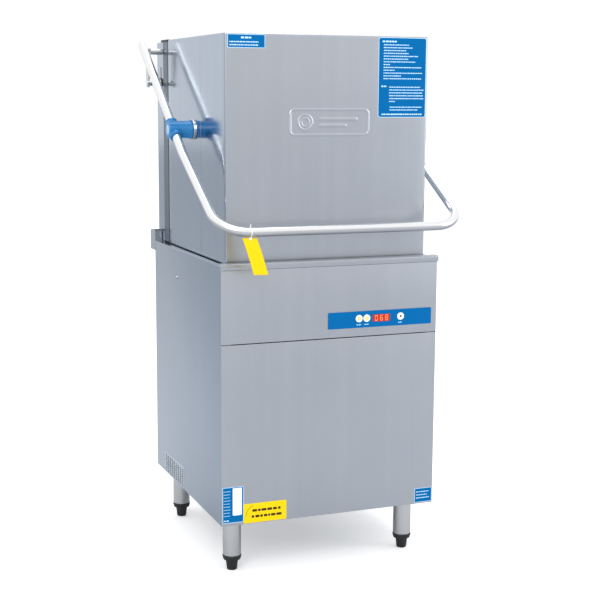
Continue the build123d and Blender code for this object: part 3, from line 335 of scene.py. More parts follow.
def handling_marks_group():
    """Cloudy patches left by wiping: broad noise sharpened, with a finer break-up on top."""
    tree, given, result = new_group(
        "handling_marks",
        [("Vector", "NodeSocketVector", None), ("Size", "NodeSocketFloat", 3.0)],
        [("Clouds", "NodeSocketFloat"), ("Specks", "NodeSocketFloat")])
    scaled = tree.nodes.new("ShaderNodeVectorMath")
    scaled.operation = "SCALE"
    tree.links.new(given.outputs["Vector"], scaled.inputs[0])
    tree.links.new(given.outputs["Size"], scaled.inputs["Scale"])
    tree.links.new(noise(tree, scaled.outputs[0], 1.0, 3.0), result.inputs["Clouds"])
    tree.links.new(noise(tree, scaled.outputs[0], 60.0, 2.0), result.inputs["Specks"])
    return tree


def moulded_grain_group():
    """Fine leathery grain of moulded plastic: cell edges mixed with small noise."""
    tree, given, result = new_group(
        "moulded_grain", [("Vector", "NodeSocketVector", None), ("Fineness", "NodeSocketFloat", 900.0)],
        [("Height", "NodeSocketFloat"), ("Tone", "NodeSocketFloat")])
    cells = tree.nodes.new("ShaderNodeTexVoronoi")
    tree.links.new(given.outputs["Vector"], cells.inputs["Vector"])
    tree.links.new(given.outputs["Fineness"], cells.inputs["Scale"])
    fine = noise(tree, given.outputs["Vector"], 2200.0, 2.0)
    tree.links.new(maths(tree, "MULTIPLY_ADD", fine, 0.4, cells.outputs["Distance"]), result.inputs["Height"])
    tree.links.new(noise(tree, given.outputs["Vector"], 9.0, 3.0), result.inputs["Tone"])
    return tree


GROUPS = {"brushed_lines": brushed_lines_group(), "handling_marks": handling_marks_group(),
          "moulded_grain": moulded_grain_group()}


class Finish:
    """A material under construction: its tree, its shader and its object coordinates."""

    def __init__(self, name, **settings):
        self.material = bpy.data.materials.new(name)
        self.material.use_nodes = True
        self.tree = self.material.node_tree
        self.shader = self.tree.nodes["Principled BSDF"]
        self.coordinates = self.tree.nodes.new("ShaderNodeTexCoord").outputs["Object"]
        for socket, value in settings.items():
            self.shader.inputs[socket.replace("_", " ")].default_value = value

    def effect(self, name, **settings):
        """Places a shared effect on the object coordinates; gives its outputs."""
        node = self.tree.nodes.new("ShaderNodeGroup")
        node.node_tree = GROUPS[name]
        self.tree.links.new(self.coordinates, node.inputs["Vector"])
        for socket, value in settings.items():
            node.inputs[socket].default_value = value
        return node.outputs

    def colour(self, dark, light, share):
        """Base colour between two colours by a share from 0 to 1."""
        ramp = self.tree.nodes.new("ShaderNodeMix")
        ramp.data_type = "RGBA"
        ramp.inputs["A"].default_value = (*dark, 1.0)
        ramp.inputs["B"].default_value = (*light, 1.0)
        self.tree.links.new(share, ramp.inputs["Factor"])
        self.tree.links.new(ramp.outputs["Result"], self.shader.inputs["Base Color"])

    def roughness(self, low, high, share):
        """Roughness between two values by a share from 0 to 1."""
        spread = self.tree.nodes.new("ShaderNodeMapRange")
        spread.inputs["To Min"].default_value, spread.inputs["To Max"].default_value = low, high
        self.tree.links.new(share, spread.inputs["Value"])
        self.tree.links.new(spread.outputs["Result"], self.shader.inputs["Roughness"])

    def relief(self, height, strength, distance):
        """Bump from a height socket."""
        bump = self.tree.nodes.new("ShaderNodeBump")
        bump.inputs["Strength"].default_value, bump.inputs["Distance"].default_value = strength, distance
        self.tree.links.new(height, bump.inputs["Height"])
        self.tree.links.new(bump.outputs["Normal"], self.shader.inputs["Normal"])


def brushed_steel(name, dark, light, rough, squeeze=(1.0, 1.0, 0.012), depth=0.04):
    """Stainless sheet: drawn lines in colour, gloss and relief, and soft clouds from wiping."""
    finish = Finish(name, Metallic=1.0)
    lines = finish.effect("brushed_lines", Squeeze=squeeze)
    marks = finish.effect("handling_marks", Size=2.4)
    clouds = maths(finish.tree, "MULTIPLY", marks["Clouds"], 0.5)
    mixed = maths(finish.tree, "MULTIPLY_ADD", lines["Lines"], 0.16, clouds)
    mixed = maths(finish.tree, "MULTIPLY_ADD", lines["Bands"], 0.28, mixed)
    finish.colour(dark, light, mixed)
    dulled = maths(finish.tree, "MULTIPLY", marks["Clouds"], 0.4)
    finish.roughness(*rough, maths(finish.tree, "MULTIPLY_ADD", lines["Lines"], 0.6, dulled))
    finish.relief(lines["Lines"], depth, 0.0004)
    return finish.material


def polished_steel(name, tone=0.9):
    """Polished tube: nearly a mirror, with painted shade darkening it where it faces down, and faint wiping
    clouds.
    """
    finish = Finish(name, Metallic=1.0)
    marks = finish.effect("handling_marks", Size=9.0)
    normal = finish.tree.nodes.new("ShaderNodeSeparateXYZ")
    geometry = finish.tree.nodes.new("ShaderNodeNewGeometry")
    finish.tree.links.new(geometry.outputs["Normal"], normal.inputs["Vector"])
    # painted shade: the base colour runs from tone on upward faces down to 0.45 of it on downward faces
    painted_top_light = maths(finish.tree, "MULTIPLY_ADD", normal.outputs["Z"], 1.1, 0.62)
    low = tone * 0.45
    finish.colour((low, low * 1.01, low * 1.04), (tone, tone, tone), painted_top_light)
    finish.roughness(0.1, 0.22, marks["Clouds"])
    return finish.material


def moulded(name, dark, light, rough, coat=0.0, fineness=900.0, depth=0.08):
    """Moulded plastic or rubber: small grain in relief and a slow change of tone."""
    finish = Finish(name, Coat_Weight=coat, Coat_Roughness=0.08)
    grain = finish.effect("moulded_grain", Fineness=fineness)
    finish.colour(dark, light, grain["Tone"])
    finish.roughness(*rough, grain["Tone"])
    finish.relief(grain["Height"], depth, 0.0003)
    return finish.material


def printed_film(name, dark, light, rough=(0.3, 0.42)):
    """Self-adhesive film: even ink with a faint cloudiness and a satin face."""
    finish = Finish(name, Specular_IOR_Level=0.05)
    marks = finish.effect("handling_marks", Size=30.0)
    finish.colour(dark, light, marks["Clouds"])
    finish.roughness(*rough, marks["Specks"])
    return finish.material


def lit_segments():
    """Red light of the display's digits, slightly uneven."""
    finish = Finish("lit_segments", Emission_Strength=1.6)
    finish.shader.inputs["Emission Color"].default_value = (1.0, 0.16, 0.06, 1.0)
    marks = finish.effect("handling_marks", Size=200.0)
    finish.colour((0.8, 0.1, 0.04), (1.0, 0.2, 0.1), marks["Clouds"])
    return finish.material


SHEET_DARK, SHEET_LIGHT = (0.395, 0.416, 0.454), (0.554, 0.58, 0.617)
# sideways faces: a darker, bluish tone painted as the reflection of their surroundings
SIDE_REFLECTION_DARK, SIDE_REFLECTION_LIGHT = (0.296, 0.352, 0.424), (0.416, 0.48, 0.56)
EVEN, AROUND, ACROSS, DEEP = (1, 1, 1), (1, 1, 0.05), (0.05, 1, 1), (1, 0.05, 1)     # ways of brushing
FINISHES = {
    "cabinet_steel": brushed_steel("cabinet_steel", SHEET_DARK, SHEET_LIGHT, (0.3, 0.42)),
    # side finish: painted reflection of darker, bluish surroundings in the base colour
    "side_steel_painted_reflection": brushed_steel("side_steel_painted_reflection", SIDE_REFLECTION_DARK, SIDE_REFLECTION_LIGHT, (0.1, 0.17), depth=0.01),
    "hood_steel": brushed_steel("hood_steel", SHEET_DARK, SHEET_LIGHT, (0.28, 0.4)),
    "tank_steel": brushed_steel("tank_steel", (0.4, 0.41, 0.43), (0.6, 0.61, 0.63), (0.22, 0.34), DEEP),
    "frame_steel": brushed_steel("frame_steel", (0.28, 0.29, 0.3), (0.42, 0.43, 0.45), (0.35, 0.5), ACROSS),
    "leg_steel": brushed_steel("leg_steel", (0.5, 0.5, 0.495), (0.74, 0.74, 0.73), (0.24, 0.36), AROUND),
    # rail steel: a very dark bluish tone, painted shade of the rails where they sit in dark gaps
    "rail_steel": brushed_steel("rail_steel", (0.10, 0.13, 0.16), (0.18, 0.22, 0.27), (0.3, 0.42)),
    # both polished finishes carry painted shade on their downward faces
    "polished_steel": polished_steel("polished_steel"),
    "screw_steel": polished_steel("screw_steel", 0.7),
    "spring_steel": brushed_steel("spring_steel", (0.25, 0.26, 0.27), (0.4, 0.41, 0.43), (0.25, 0.4), EVEN),
    "element_steel": brushed_steel("element_steel", (0.12, 0.12, 0.13), (0.22, 0.21, 0.2), (0.4, 0.55), EVEN),
    "motor_paint": moulded("motor_paint", (0.03, 0.035, 0.045), (0.06, 0.065, 0.075), (0.4, 0.5),
                           0.2, 500.0, 0.15),
    "brass": brushed_steel("brass", (0.45, 0.3, 0.1), (0.7, 0.5, 0.2), (0.25, 0.4), EVEN),
    "bronze": brushed_steel("bronze", (0.07, 0.055, 0.045), (0.12, 0.095, 0.075), (0.35, 0.5), EVEN),
    "black_nylon": moulded("black_nylon", (0.006, 0.006, 0.007), (0.015, 0.015, 0.016), (0.42, 0.55)),
    "black_rubber": moulded("black_rubber", (0.02, 0.02, 0.02), (0.04, 0.04, 0.04), (0.55, 0.7),
                            0.0, 400.0, 0.2),
    "grey_plastic": moulded("grey_plastic", (0.35, 0.37, 0.38), (0.46, 0.48, 0.49), (0.4, 0.5)),
    "white_plastic": moulded("white_plastic", (0.72, 0.73, 0.72), (0.84, 0.85, 0.84), (0.35, 0.45)),
    "blue_plastic": moulded("blue_plastic", (0.0, 0.15, 0.40), (0.0, 0.19, 0.49), (0.28, 0.38),
                            0.25, 700.0, 0.03),
    "blue_film": printed_film("blue_film", (0.0, 0.11, 0.32), (0.0, 0.126, 0.36), (0.45, 0.6)),
    "pale_ink": printed_film("pale_ink", (0.42, 0.68, 0.88), (0.55, 0.78, 0.95)),
    "white_ink": printed_film("white_ink", (0.78, 0.86, 0.93), (0.9, 0.95, 0.98)),
    "black_ink": printed_film("black_ink", (0.03, 0.02, 0.01), (0.06, 0.045, 0.02)),
    "yellow_film": printed_film("yellow_film", (0.8, 0.53, 0.006), (0.88, 0.61, 0.01)),
    "silver_film": printed_film("silver_film", (0.36, 0.42, 0.49), (0.46, 0.53, 0.6)),
    "display_red": printed_film("display_red", (0.36, 0.025, 0.015), (0.48, 0.04, 0.025), (0.12, 0.2)),
    "button_plastic": moulded("button_plastic", (0.72, 0.84, 0.88), (0.82, 0.92, 0.95), (0.25, 0.35), 0.3),
    # pale blue disc colour: a painted highlight on the sleeves' end caps
    "pale_blue_highlight": moulded("pale_blue_highlight", (0.30, 0.47, 0.62), (0.38, 0.55, 0.70), (0.3, 0.4)),
    "amber_ink": printed_film("amber_ink", (0.75, 0.6, 0.12), (0.85, 0.7, 0.2)),
    "lit_segments": lit_segments(),
}


def finish_cad_nodes():
    """Every CAD node gets the finish of its material slot from the record; the columns then take the side
    finish with its painted bluish reflection.
    """
    for entry in frame["record"]["subparts"]:
        mesh = frame["nodes"][entry["node"]].data
        mesh.materials.clear()
        mesh.materials.append(FINISHES[entry["material_slot"]])
    frame["nodes"]["columns"].data.materials[0] = FINISHES["side_steel_painted_reflection"]


def corners_of(node):
    """Lowest and highest corner of a CAD node, as arrays."""
    low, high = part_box(node)
    return np.array(low), np.array(high)


# ---- cabinet ------------------------------------------------------------------------------
SHEET = 1.5 * MM
EDGE = 1.4 * MM
FLANGE = 16 * MM
SCREW_HEAD = 2.2 * MM
SIDE_SCREW_Y, SIDE_SCREW_Z = 0.116, 0.787
BACK_SCREW_X, BACK_SCREW_Z = 0.295, (0.19, 0.41, 0.63, 0.81)


def build_panels():
    """Front, side and upper sheets as plates with rolled edges."""
    for name in ("front_panel_lower", "front_panel_upper"):
        low, high = corners_of(name)
        high[1] = low[1] + 2 * SHEET
        piece(name + "_sheet", [slab(low, high, 1, 2 * MM, EDGE)], "cabinet_steel", "cabinet", name)
    low, high = corners_of("side_panels")
    sheet = slab(low, (low[0] + SHEET, high[1], high[2]), 0, 1.5 * MM, 0.7 * MM)
    shelf_low = (low[0] + SHEET, low[1], high[2] - SHEET)
    shelf = slab(shelf_low, (low[0] + FLANGE, high[1], high[2]), 2, 0.5 * MM, 0.5 * MM)
    # the side sheets take the finish with the painted bluish reflection
    piece("side_sheets", both(sheet) + both(shelf), "side_steel_painted_reflection", "cabinet", "side_panels")


def build_rim():
    """Rolled front lip: a bead round the top, a flat apron in front and a fold behind."""
    low, high = corners_of("top_rim")
    front, back, foot, top = low[1], high[1], low[2], high[2]
    roll = 4.2 * MM
    bead = arc((front + roll, top - roll), roll, 180, 90, 8)
    hem = arc((front + 1.6 * MM, foot + 1.6 * MM), 1.6 * MM, 270, 180, 6)
    outline = np.concatenate([
        [(front + 3 * MM, foot)], hem, bead, [(back, top), (back, top - 5.5 * MM)],
        [(front + 7 * MM, top - 5.5 * MM)], [(front + 3 * MM, top - 8 * MM)]])
    lip = bar_along(outline[::-1], low[0], high[0])
    piece("rim_lip", [lip], "hood_steel", "cabinet", "top_rim", 50.0)


def build_legs():
    """Brushed leg tubes with their square plates, nut rings and bullet feet."""
    low, high = corners_of("legs")
    plate_half, plate = 45 * MM, 5 * MM
    x, y_front, y_rear = high[0] - plate_half, low[1] + plate_half, high[1] - plate_half
    radius, top = 25.5 * MM, high[2] - plate
    shank = np.array([
        (radius - 2 * MM, low[2]), (radius - 0.6 * MM, low[2] + 0.2 * MM), (radius, low[2] + 1 * MM),
        (radius, top - 2 * MM), (radius + 1.6 * MM, top)])
    tubes, rings = [], []
    insert_z = corners_of("leg_inserts")[0][2]
    collar = np.array([
        (21.5, 0), (23.6, 0.4), (24.4, 1.4), (26.6, 10.6), (27.0, 12.2), (26.2, 13.6), (24, 14)]) * MM
    for sx in (-1, 1):
        for y in (y_front, y_rear):
            at = np.array([sx * x, y, 0.0])
            tubes.append(turned(shank, at, Z_AXIS))
            corner = at + (-plate_half, -plate_half, top)
            tubes.append(slab(corner, at + (plate_half, plate_half, high[2]), 2, 6 * MM, 1 * MM))
            rings.append(turned(collar, at + (0, 0, insert_z), Z_AXIS))
    piece("leg_tubes", tubes, "leg_steel", "cabinet", "legs", 30.0)
    piece("leg_nut_rings", rings, "black_nylon", "cabinet", "leg_inserts")
    for name in ("front_left", "front_right", "rear_left", "rear_right"):
        foot_low, foot_high = corners_of("foot_" + name)
        middle = (foot_low + foot_high) / 2
        toe = np.concatenate([
            [(10.0, 0.0)], arc((11.5, 3.0), 3.0, 270, 340, 5), [(16.2, 18.0), (17.3, 27.0)],
            arc((15.5, 28.2), 1.8, 0, 90, 5), [(9.0, 30.0), (8.0, 31.0), (8.0, 95.0), (7.2, 96.0)]]) * MM
        foot = turned(toe, (middle[0], middle[1], 0.0), Z_AXIS)
        piece("bullet_" + name, [foot], "black_nylon", "foot_" + name, "foot_" + name, 35.0)


def build_screws():
    """Pan heads with a small round recess, on both sides and down the back panel."""
    high = corners_of("panel_screws")[1] - SCREW_HEAD
    head = np.concatenate([[(4.6, 0.0)], arc((3.0, 0.6), 1.6, 0, 80, 6), [(1.8, 2.15), (1.5, 1.4)]]) * MM
    parts = []
    for sx in (-1, 1):
        parts.append(turned(head, (sx * high[0], SIDE_SCREW_Y, SIDE_SCREW_Z), (sx, 0, 0), 20))
        for z in BACK_SCREW_Z:
            parts.append(turned(head, (sx * BACK_SCREW_X, high[1], z), Y_AXIS, 20))
    piece("pan_screws", parts, "screw_steel", "cabinet", "panel_screws", 30.0)


# ---- hood ---------------------------------------------------------------------------------
HOOD_SHEET = 1.2 * MM
CORNER = 5 * MM
TOP_ROLL = 4 * MM
HOLD = 1.2 * MM               # support rows this close to an open edge keep its shading flat
STAMP_RISE, STAMP_WIDTH = 1.6 * MM, 1.9 * MM
STAMP_MIDDLE, STAMP_HALF, STAMP_CORNER = (0.0031, 1.247), (0.1145, 0.034), 0.012
RING_X, RING_OUTER, RING_INNER = -0.068, 0.020, 0.0115
FINE = 1.25 * MM
FINE_X, FINE_Z = (-0.122, 0.1285), (1.205, 1.29)


def box_distance(x, z, centre, half, corner):
    """Signed distance from points to a rounded rectangle."""
    qx = np.abs(x - centre[0]) - half[0] + corner
    qz = np.abs(z - centre[1]) - half[1] + corner
    outside = np.hypot(np.maximum(qx, 0), np.maximum(qz, 0))
    return outside + np.minimum(np.maximum(qx, qz), 0) - corner


def stamp_height(x, z):
    """Pressed ridge exp(-(distance / width)^2) along a rounded frame, a plate and two plain bars."""
    frame_line = box_distance(x, z, STAMP_MIDDLE, STAMP_HALF, STAMP_CORNER)
    from_ring = np.hypot(x - RING_X, z - STAMP_MIDDLE[1])
    rim, well = from_ring - RING_OUTER, from_ring - RING_INNER
    bars = np.minimum(box_distance(x, z, (0.028, 1.255), (0.056, 0.0035), 0.0034),
                      box_distance(x, z, (0.012, 1.238), (0.040, 0.0030), 0.0029))
    ridge = np.exp(-(frame_line / STAMP_WIDTH) ** 2)
    detail = np.exp(-(rim / STAMP_WIDTH) ** 2) + 0.7 * np.exp(-(well / STAMP_WIDTH) ** 2)
    swell = 0.75 / (1 + np.exp(bars / (0.7 * MM)))
    return STAMP_RISE * (ridge + 0.8 * detail + swell)


def hood_plan(half, front, seam, across):
    """Plan outline of a bent sheet: side, quarter circle, front, quarter circle, side. Gives
    points (x, y) and outward directions."""
    side = 1 if seam > front else -1
    centre_y = front + side * CORNER
    lines = np.concatenate([[seam, seam - side * HOLD], np.linspace(seam, centre_y, 12)[1:-1]])
    bend = np.radians(np.linspace(0, 90, 8))
    left = np.stack([np.full(len(lines), -half), lines], -1)
    curve = np.stack([-half + CORNER - CORNER * np.cos(bend), centre_y - side * CORNER * np.sin(bend)], -1)
    curve_out = np.stack([-np.cos(bend), -side * np.sin(bend)], -1)
    middle = np.stack([across, np.full(len(across), front)], -1)
    points = np.concatenate([left, curve, middle, curve[::-1] * (-1, 1), left[::-1] * (-1, 1)])
    left_out = np.tile((-1.0, 0.0), (len(lines), 1))
    middle_out = np.tile((0.0, -float(side)), (len(across), 1))
    out = np.concatenate([left_out, curve_out, middle_out, curve_out[::-1] * (-1, 1), -left_out])
    return points, out


def hood_sheet(half, front, seam, across, heights, top, stamped):
    """Sheet over (plan outline, height); the top rows roll inwards by a quarter circle and the
    stamp lifts it along the outward direction."""
    plan, out = hood_plan(half, front, seam, across)
    roll = np.radians(np.linspace(0, 90, 7))
    z = np.concatenate([heights, top - TOP_ROLL + TOP_ROLL * np.sin(roll)])
    inward = np.concatenate([np.zeros(len(heights)), TOP_ROLL * (1 - np.cos(roll))])
    offset = np.broadcast_to(-inward[:, None], (len(z), len(plan))).copy()
    if stamped:
        x_grid, z_grid = np.broadcast_arrays(plan[None, :, 0], z[:, None])
        offset += np.where(out[None, :, 1] < -0.9, stamp_height(x_grid, z_grid), 0.0)
    points = np.empty((len(z), len(plan), 3))
    points[:, :, :2] = plan[None] + offset[:, :, None] * out[None]
    points[:, :, 2] = z[:, None]
    faces = grid_faces(len(z), len(plan))
    return points.reshape(-1, 3), faces if front < seam else [face[::-1] for face in faces]


def paint_side_reflection(made, limit):
    """Second finish, with a painted bluish reflection, on the faces that look sideways."""
    made.data.materials.append(FINISHES["side_steel_painted_reflection"])
    centres = np.empty(len(made.data.polygons) * 3)
    made.data.polygons.foreach_get("center", centres)
    sideways = (np.abs(centres.reshape(-1, 3)[:, 0]) > limit).astype(np.int32)
    made.data.polygons.foreach_set("material_index", sideways)


def build_hood():
    """Front and rear bent sheets, the roof tray and the bosses for the sleeves."""
    low, high = corners_of("hood_front")
    half, top = high[0], high[2]
    front, seam = low[1] + 1.6 * MM, high[1]
    inner = half - CORNER
    fine_x, fine_z = np.arange(*FINE_X, FINE), np.arange(*FINE_Z, FINE)
    across = np.concatenate([np.linspace(-inner, -0.125, 8)[1:], fine_x, np.linspace(0.131, inner, 8)[:-1]])
    heights = np.concatenate([[low[2], low[2] + HOLD], np.linspace(low[2], 1.2, 14)[1:], fine_z,
                              np.linspace(1.293, top - 2 * TOP_ROLL, 8)])
    sheet = hood_sheet(half, front, seam, across, heights, top, True)
    made = piece("hood_front_sheet", [sheet], "hood_steel", "hood", "hood_front", 60.0)
    paint_side_reflection(made, half - 2.5 * MM)
    thicken(made, HOOD_SHEET)
    rear_low, rear_high = corners_of("hood_rear")
    plain = np.linspace(-half + CORNER, half - CORNER, 12)[1:-1]
    heights = np.concatenate([[low[2], low[2] + HOLD], np.linspace(low[2], top - 2 * TOP_ROLL, 24)[1:]])
    sheet = hood_sheet(half, rear_high[1], rear_low[1], plain, heights, top, False)
    made = piece("hood_rear_sheet", [sheet], "hood_steel", "hood", "hood_rear", 60.0)
    paint_side_reflection(made, half - 2.5 * MM)
    thicken(made, HOOD_SHEET)
    inset = TOP_ROLL - 0.6 * MM
    tray_low, tray_high = (inset - half, front + inset), (half - inset, rear_high[1] - inset)
    tray = slab((*tray_low, top - 3 * MM), (*tray_high, top - 0.1 * MM), 2, 3 * MM, 0.8 * MM)
    piece("roof_sheet", [tray], "hood_steel", "hood", "hood_roof")
    washer = np.concatenate([
        [(22, -1.0), (28.0, -1.0)], arc((26.6, 3.0), 1.4, 0, 90, 5), [(20.0, 4.4), (19.0, 3.4)]]) * MM
    boss = turned(washer, (half, *boss_centre()), X_AXIS, 64)
    piece("boss_washers", both(boss), "polished_steel", "hood", None)


def boss_centre():
    """Depth and height of the sleeves' axis."""
    low, high = corners_of("sleeve_right")
    return (low[1] + high[1]) / 2, (low[2] + high[2]) / 2


# ---- handle -------------------------------------------------------------------------------
TUBE_R = 12.5 * MM
ARM_SLOPE, LOW_SLOPE = 0.72, 0.5657       # rise per unit of depth behind and in front of the kink
KINK_AHEAD, REAR_BEHIND = 0.086, 0.34     # depth from the sleeves' axis
CORNER_BEND, KINK_BEND = 0.1, 0.084
ARM_ANGLE = math.atan(ARM_SLOPE)
SPRING_R, SPRING_WIRE, SPRING_TURNS = 12.2 * MM, 1.7 * MM, 26
TIE_X = -0.270
CARD_WIDE, CARD_LONG, CARD_LEAN = 40 * MM, 103 * MM, 0.32
ARM_DOWN = np.array([0.0, -math.cos(ARM_ANGLE), -math.sin(ARM_ANGLE)])


def handle_corners():
    """Corner points of the handle on the right: rear end, kink and front corner."""
    low, high = corners_of("handle_tube")
    x = high[0] - TUBE_R
    y, z = boss_centre()
    kink = np.array([x, y, z]) + ARM_DOWN * (KINK_AHEAD / math.cos(ARM_ANGLE))
    bar = np.array([x, low[1] + TUBE_R, 0.0])
    bar[2] = kink[2] - LOW_SLOPE * (kink[1] - bar[1])
    rear = np.array([x, y, z]) - ARM_DOWN * (REAR_BEHIND / math.cos(ARM_ANGLE))
    return rear, kink, bar


def build_handle():
    """Polished tube through rear end, kink and front corner on each side, with closed ends."""
    right = np.array(handle_corners())
    left = right * (-1, 1, 1)
    bends = [CORNER_BEND, KINK_BEND, KINK_BEND, CORNER_BEND]
    route = rounded_route(np.concatenate([left, right[::-1]]), bends)
    dense, radii = domed(route, TUBE_R)
    up = np.cross(ARM_DOWN, X_AXIS)
    bar = tube(dense, radii, up, 40)
    piece("handle_bar", [bar], "polished_steel", "handle", "handle_tube", 60.0)


def sleeve_parts():
    """Drum along X with a flange and rounded end, and a collar round the arm with two beads."""
    low, high = corners_of("sleeve_right")
    y, z = boss_centre()
    inner, outer = low[0], high[0]
    drum_r = 24.5
    length = (outer - inner) / MM
    drum = np.concatenate([
        [(17.0, 0.6), (19.0, 0.0), (26.0, 0.0)], arc((26.0, 1.0), 1.0, 270, 360, 4),
        [(27.0, 4.2), (26.4, 5.0), (24.9, 5.4)],
        [(drum_r, 6.4), (drum_r, length - 4.0)], arc((drum_r - 4.0, length - 4.0), 4.0, 0, 90, 7),
        [(15.0, length), (14.4, length - 0.7), (2.0, length - 0.7)]]) * MM
    body = turned(drum, (inner, y, z), X_AXIS, 64)
    reach = 33.0
    collar = np.concatenate([
        [(12.56, -reach + 1.0), (14.0, -reach)], arc((16.2, -reach + 1.8), 1.8, 270, 360, 5),
        [(18.0, -reach + 6), (17.2, -reach + 7.4), (17.2, reach - 7.4), (18.0, reach - 6)],
        arc((16.2, reach - 1.8), 1.8, 0, 90, 5), [(14.0, reach), (12.56, reach - 1.0)]]) * MM
    arm_x = handle_corners()[0][0]
    grip = turned(collar, (arm_x, y, z), ARM_DOWN, 48)
    return [body, grip]


def build_sleeves():
    """Blue moulded T-pieces, one on each arm."""
    right = sleeve_parts()
    left = [mirrored(part) for part in right]
    for side, parts in (("right", right), ("left", left)):
        body = "sleeve_" + side
        piece("slide_" + body, parts, "blue_plastic", body, body, 35.0)


def build_sleeve_end_highlights():
    """Pale disc on the outer end of each sleeve: a painted highlight where the end cap catches the light."""
    high = corners_of("sleeve_right")[1]
    profile = np.array([(14.2, -0.7), (14.2, -0.3), (13.8, -0.1), (2.0, -0.1)]) * MM
    disc = turned(profile, (high[0], *boss_centre()), X_AXIS, 48)
    for side, part in (("right", disc), ("left", mirrored(disc))):
        piece("sleeve_end_highlight_" + side, [part], "pale_blue_highlight", "sleeve_" + side, None, 35.0)


def build_springs():
    """Close-wound helix: angle and height grow together, radius is the coil's; a straight rod
    with domed ends joins it to the lever's pin."""
    low, high = corners_of("counterbalance_springs")
    x, y = high[0] - 14 * MM, (low[1] + high[1]) / 2
    share = np.linspace(0, 1, SPRING_TURNS * 20)
    angle = share * SPRING_TURNS * TAU
    height = low[2] + SPRING_WIRE + share * (high[2] - low[2] - 2 * SPRING_WIRE)
    route = np.stack([x + SPRING_R * np.cos(angle), y + SPRING_R * np.sin(angle), height], -1)
    coil = both(tube(route, SPRING_WIRE, Z_AXIS, 10))
    made = piece("coil_springs", coil, "spring_steel", "cabinet", "counterbalance_springs")
    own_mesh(made)
    rod = np.linspace((x, y, low[2] + 3 * MM), (x, y, low[2] - 17 * MM), 8)
    hook, radii = domed(rod, SPRING_WIRE)
    piece("spring_hooks", both(tube(hook, radii, Y_AXIS, 10)), "spring_steel", "handle", None)


def build_tie(y, z):
    """White tie looped round the bar, with its lock below and its tail above."""
    angle = np.linspace(0, TAU, 40)
    reach = TUBE_R + 1.1 * MM
    loop = np.stack([np.full(40, TIE_X), y + reach * np.cos(angle), z + reach * np.sin(angle)], -1)
    lock = slab((TIE_X - 3 * MM, y - 2.5 * MM, z - TUBE_R - 7 * MM),
                (TIE_X + 3 * MM, y + 3 * MM, z - TUBE_R - 1 * MM), 2, 1 * MM, 0.8 * MM)
    root = z + TUBE_R + 1 * MM
    tail = np.linspace((TIE_X, y, root), (TIE_X + 1 * MM, y - 2 * MM, root + 8 * MM), 5)
    parts = [tube(loop, 1.0 * MM, X_AXIS, 8), lock, tube(tail, 1.2 * MM, X_AXIS, 8)]
    piece("cable_tie", parts, "white_plastic", "hang_tag", None)


def build_tag():
    """Card strip S(u, v): u across, v down; it leans sideways with v and bows a little in depth."""
    _, bar_y, bar_z = handle_corners()[2]
    build_tie(bar_y, bar_z)
    u = np.linspace(-0.5, 0.5, 13)[None, :]
    v = np.linspace(0, 1, 40)[:, None]
    x = TIE_X - 2 * MM + u * CARD_WIDE + CARD_LEAN * v * CARD_LONG
    y = bar_y - 1.2 * MM + 3 * MM * u * u - 2.4 * MM * np.sin(v * math.pi) + 5 * MM * v * v
    z = bar_z - TUBE_R - 2.5 * MM - v * CARD_LONG * 0.95 - 1.5 * MM * u
    card = np.stack(np.broadcast_arrays(x, y, z), -1).reshape(-1, 3), grid_faces(40, 13)
    strip = piece("card_strip", [card], "yellow_film", "hang_tag", "hang_tag", 60.0)
    thicken(strip, 0.4 * MM)


# ---- printed films ------------------------------------------------------------------------
FILM = 0.35 * MM
INK = 0.12 * MM
INK_EDGE = 0.03 * MM


def film(low, high, corner):
    """Thin plate lying on a -Y face whose outside is at high[1]."""
    return slab(low, high, 1, corner, 0.1 * MM)


def dashes(left, right, z, height, face, rng, indent=0.0, share=0.9):
    """Row of short plain dashes of uneven length, standing for a line of small print."""
    parts, x = [], left + indent
    end = left + (right - left) * share
    while x < end - height:
        length = height * rng.uniform(0.8, 2.6)
        stop = min(x + length, end)
        low, high = (x, face - INK, z - height / 2), (stop, face, z + height / 2)
        parts.append(slab(low, high, 1, height * 0.2, INK_EDGE, 2))
        x = stop + height * rng.uniform(0.25, 0.5)
    return parts


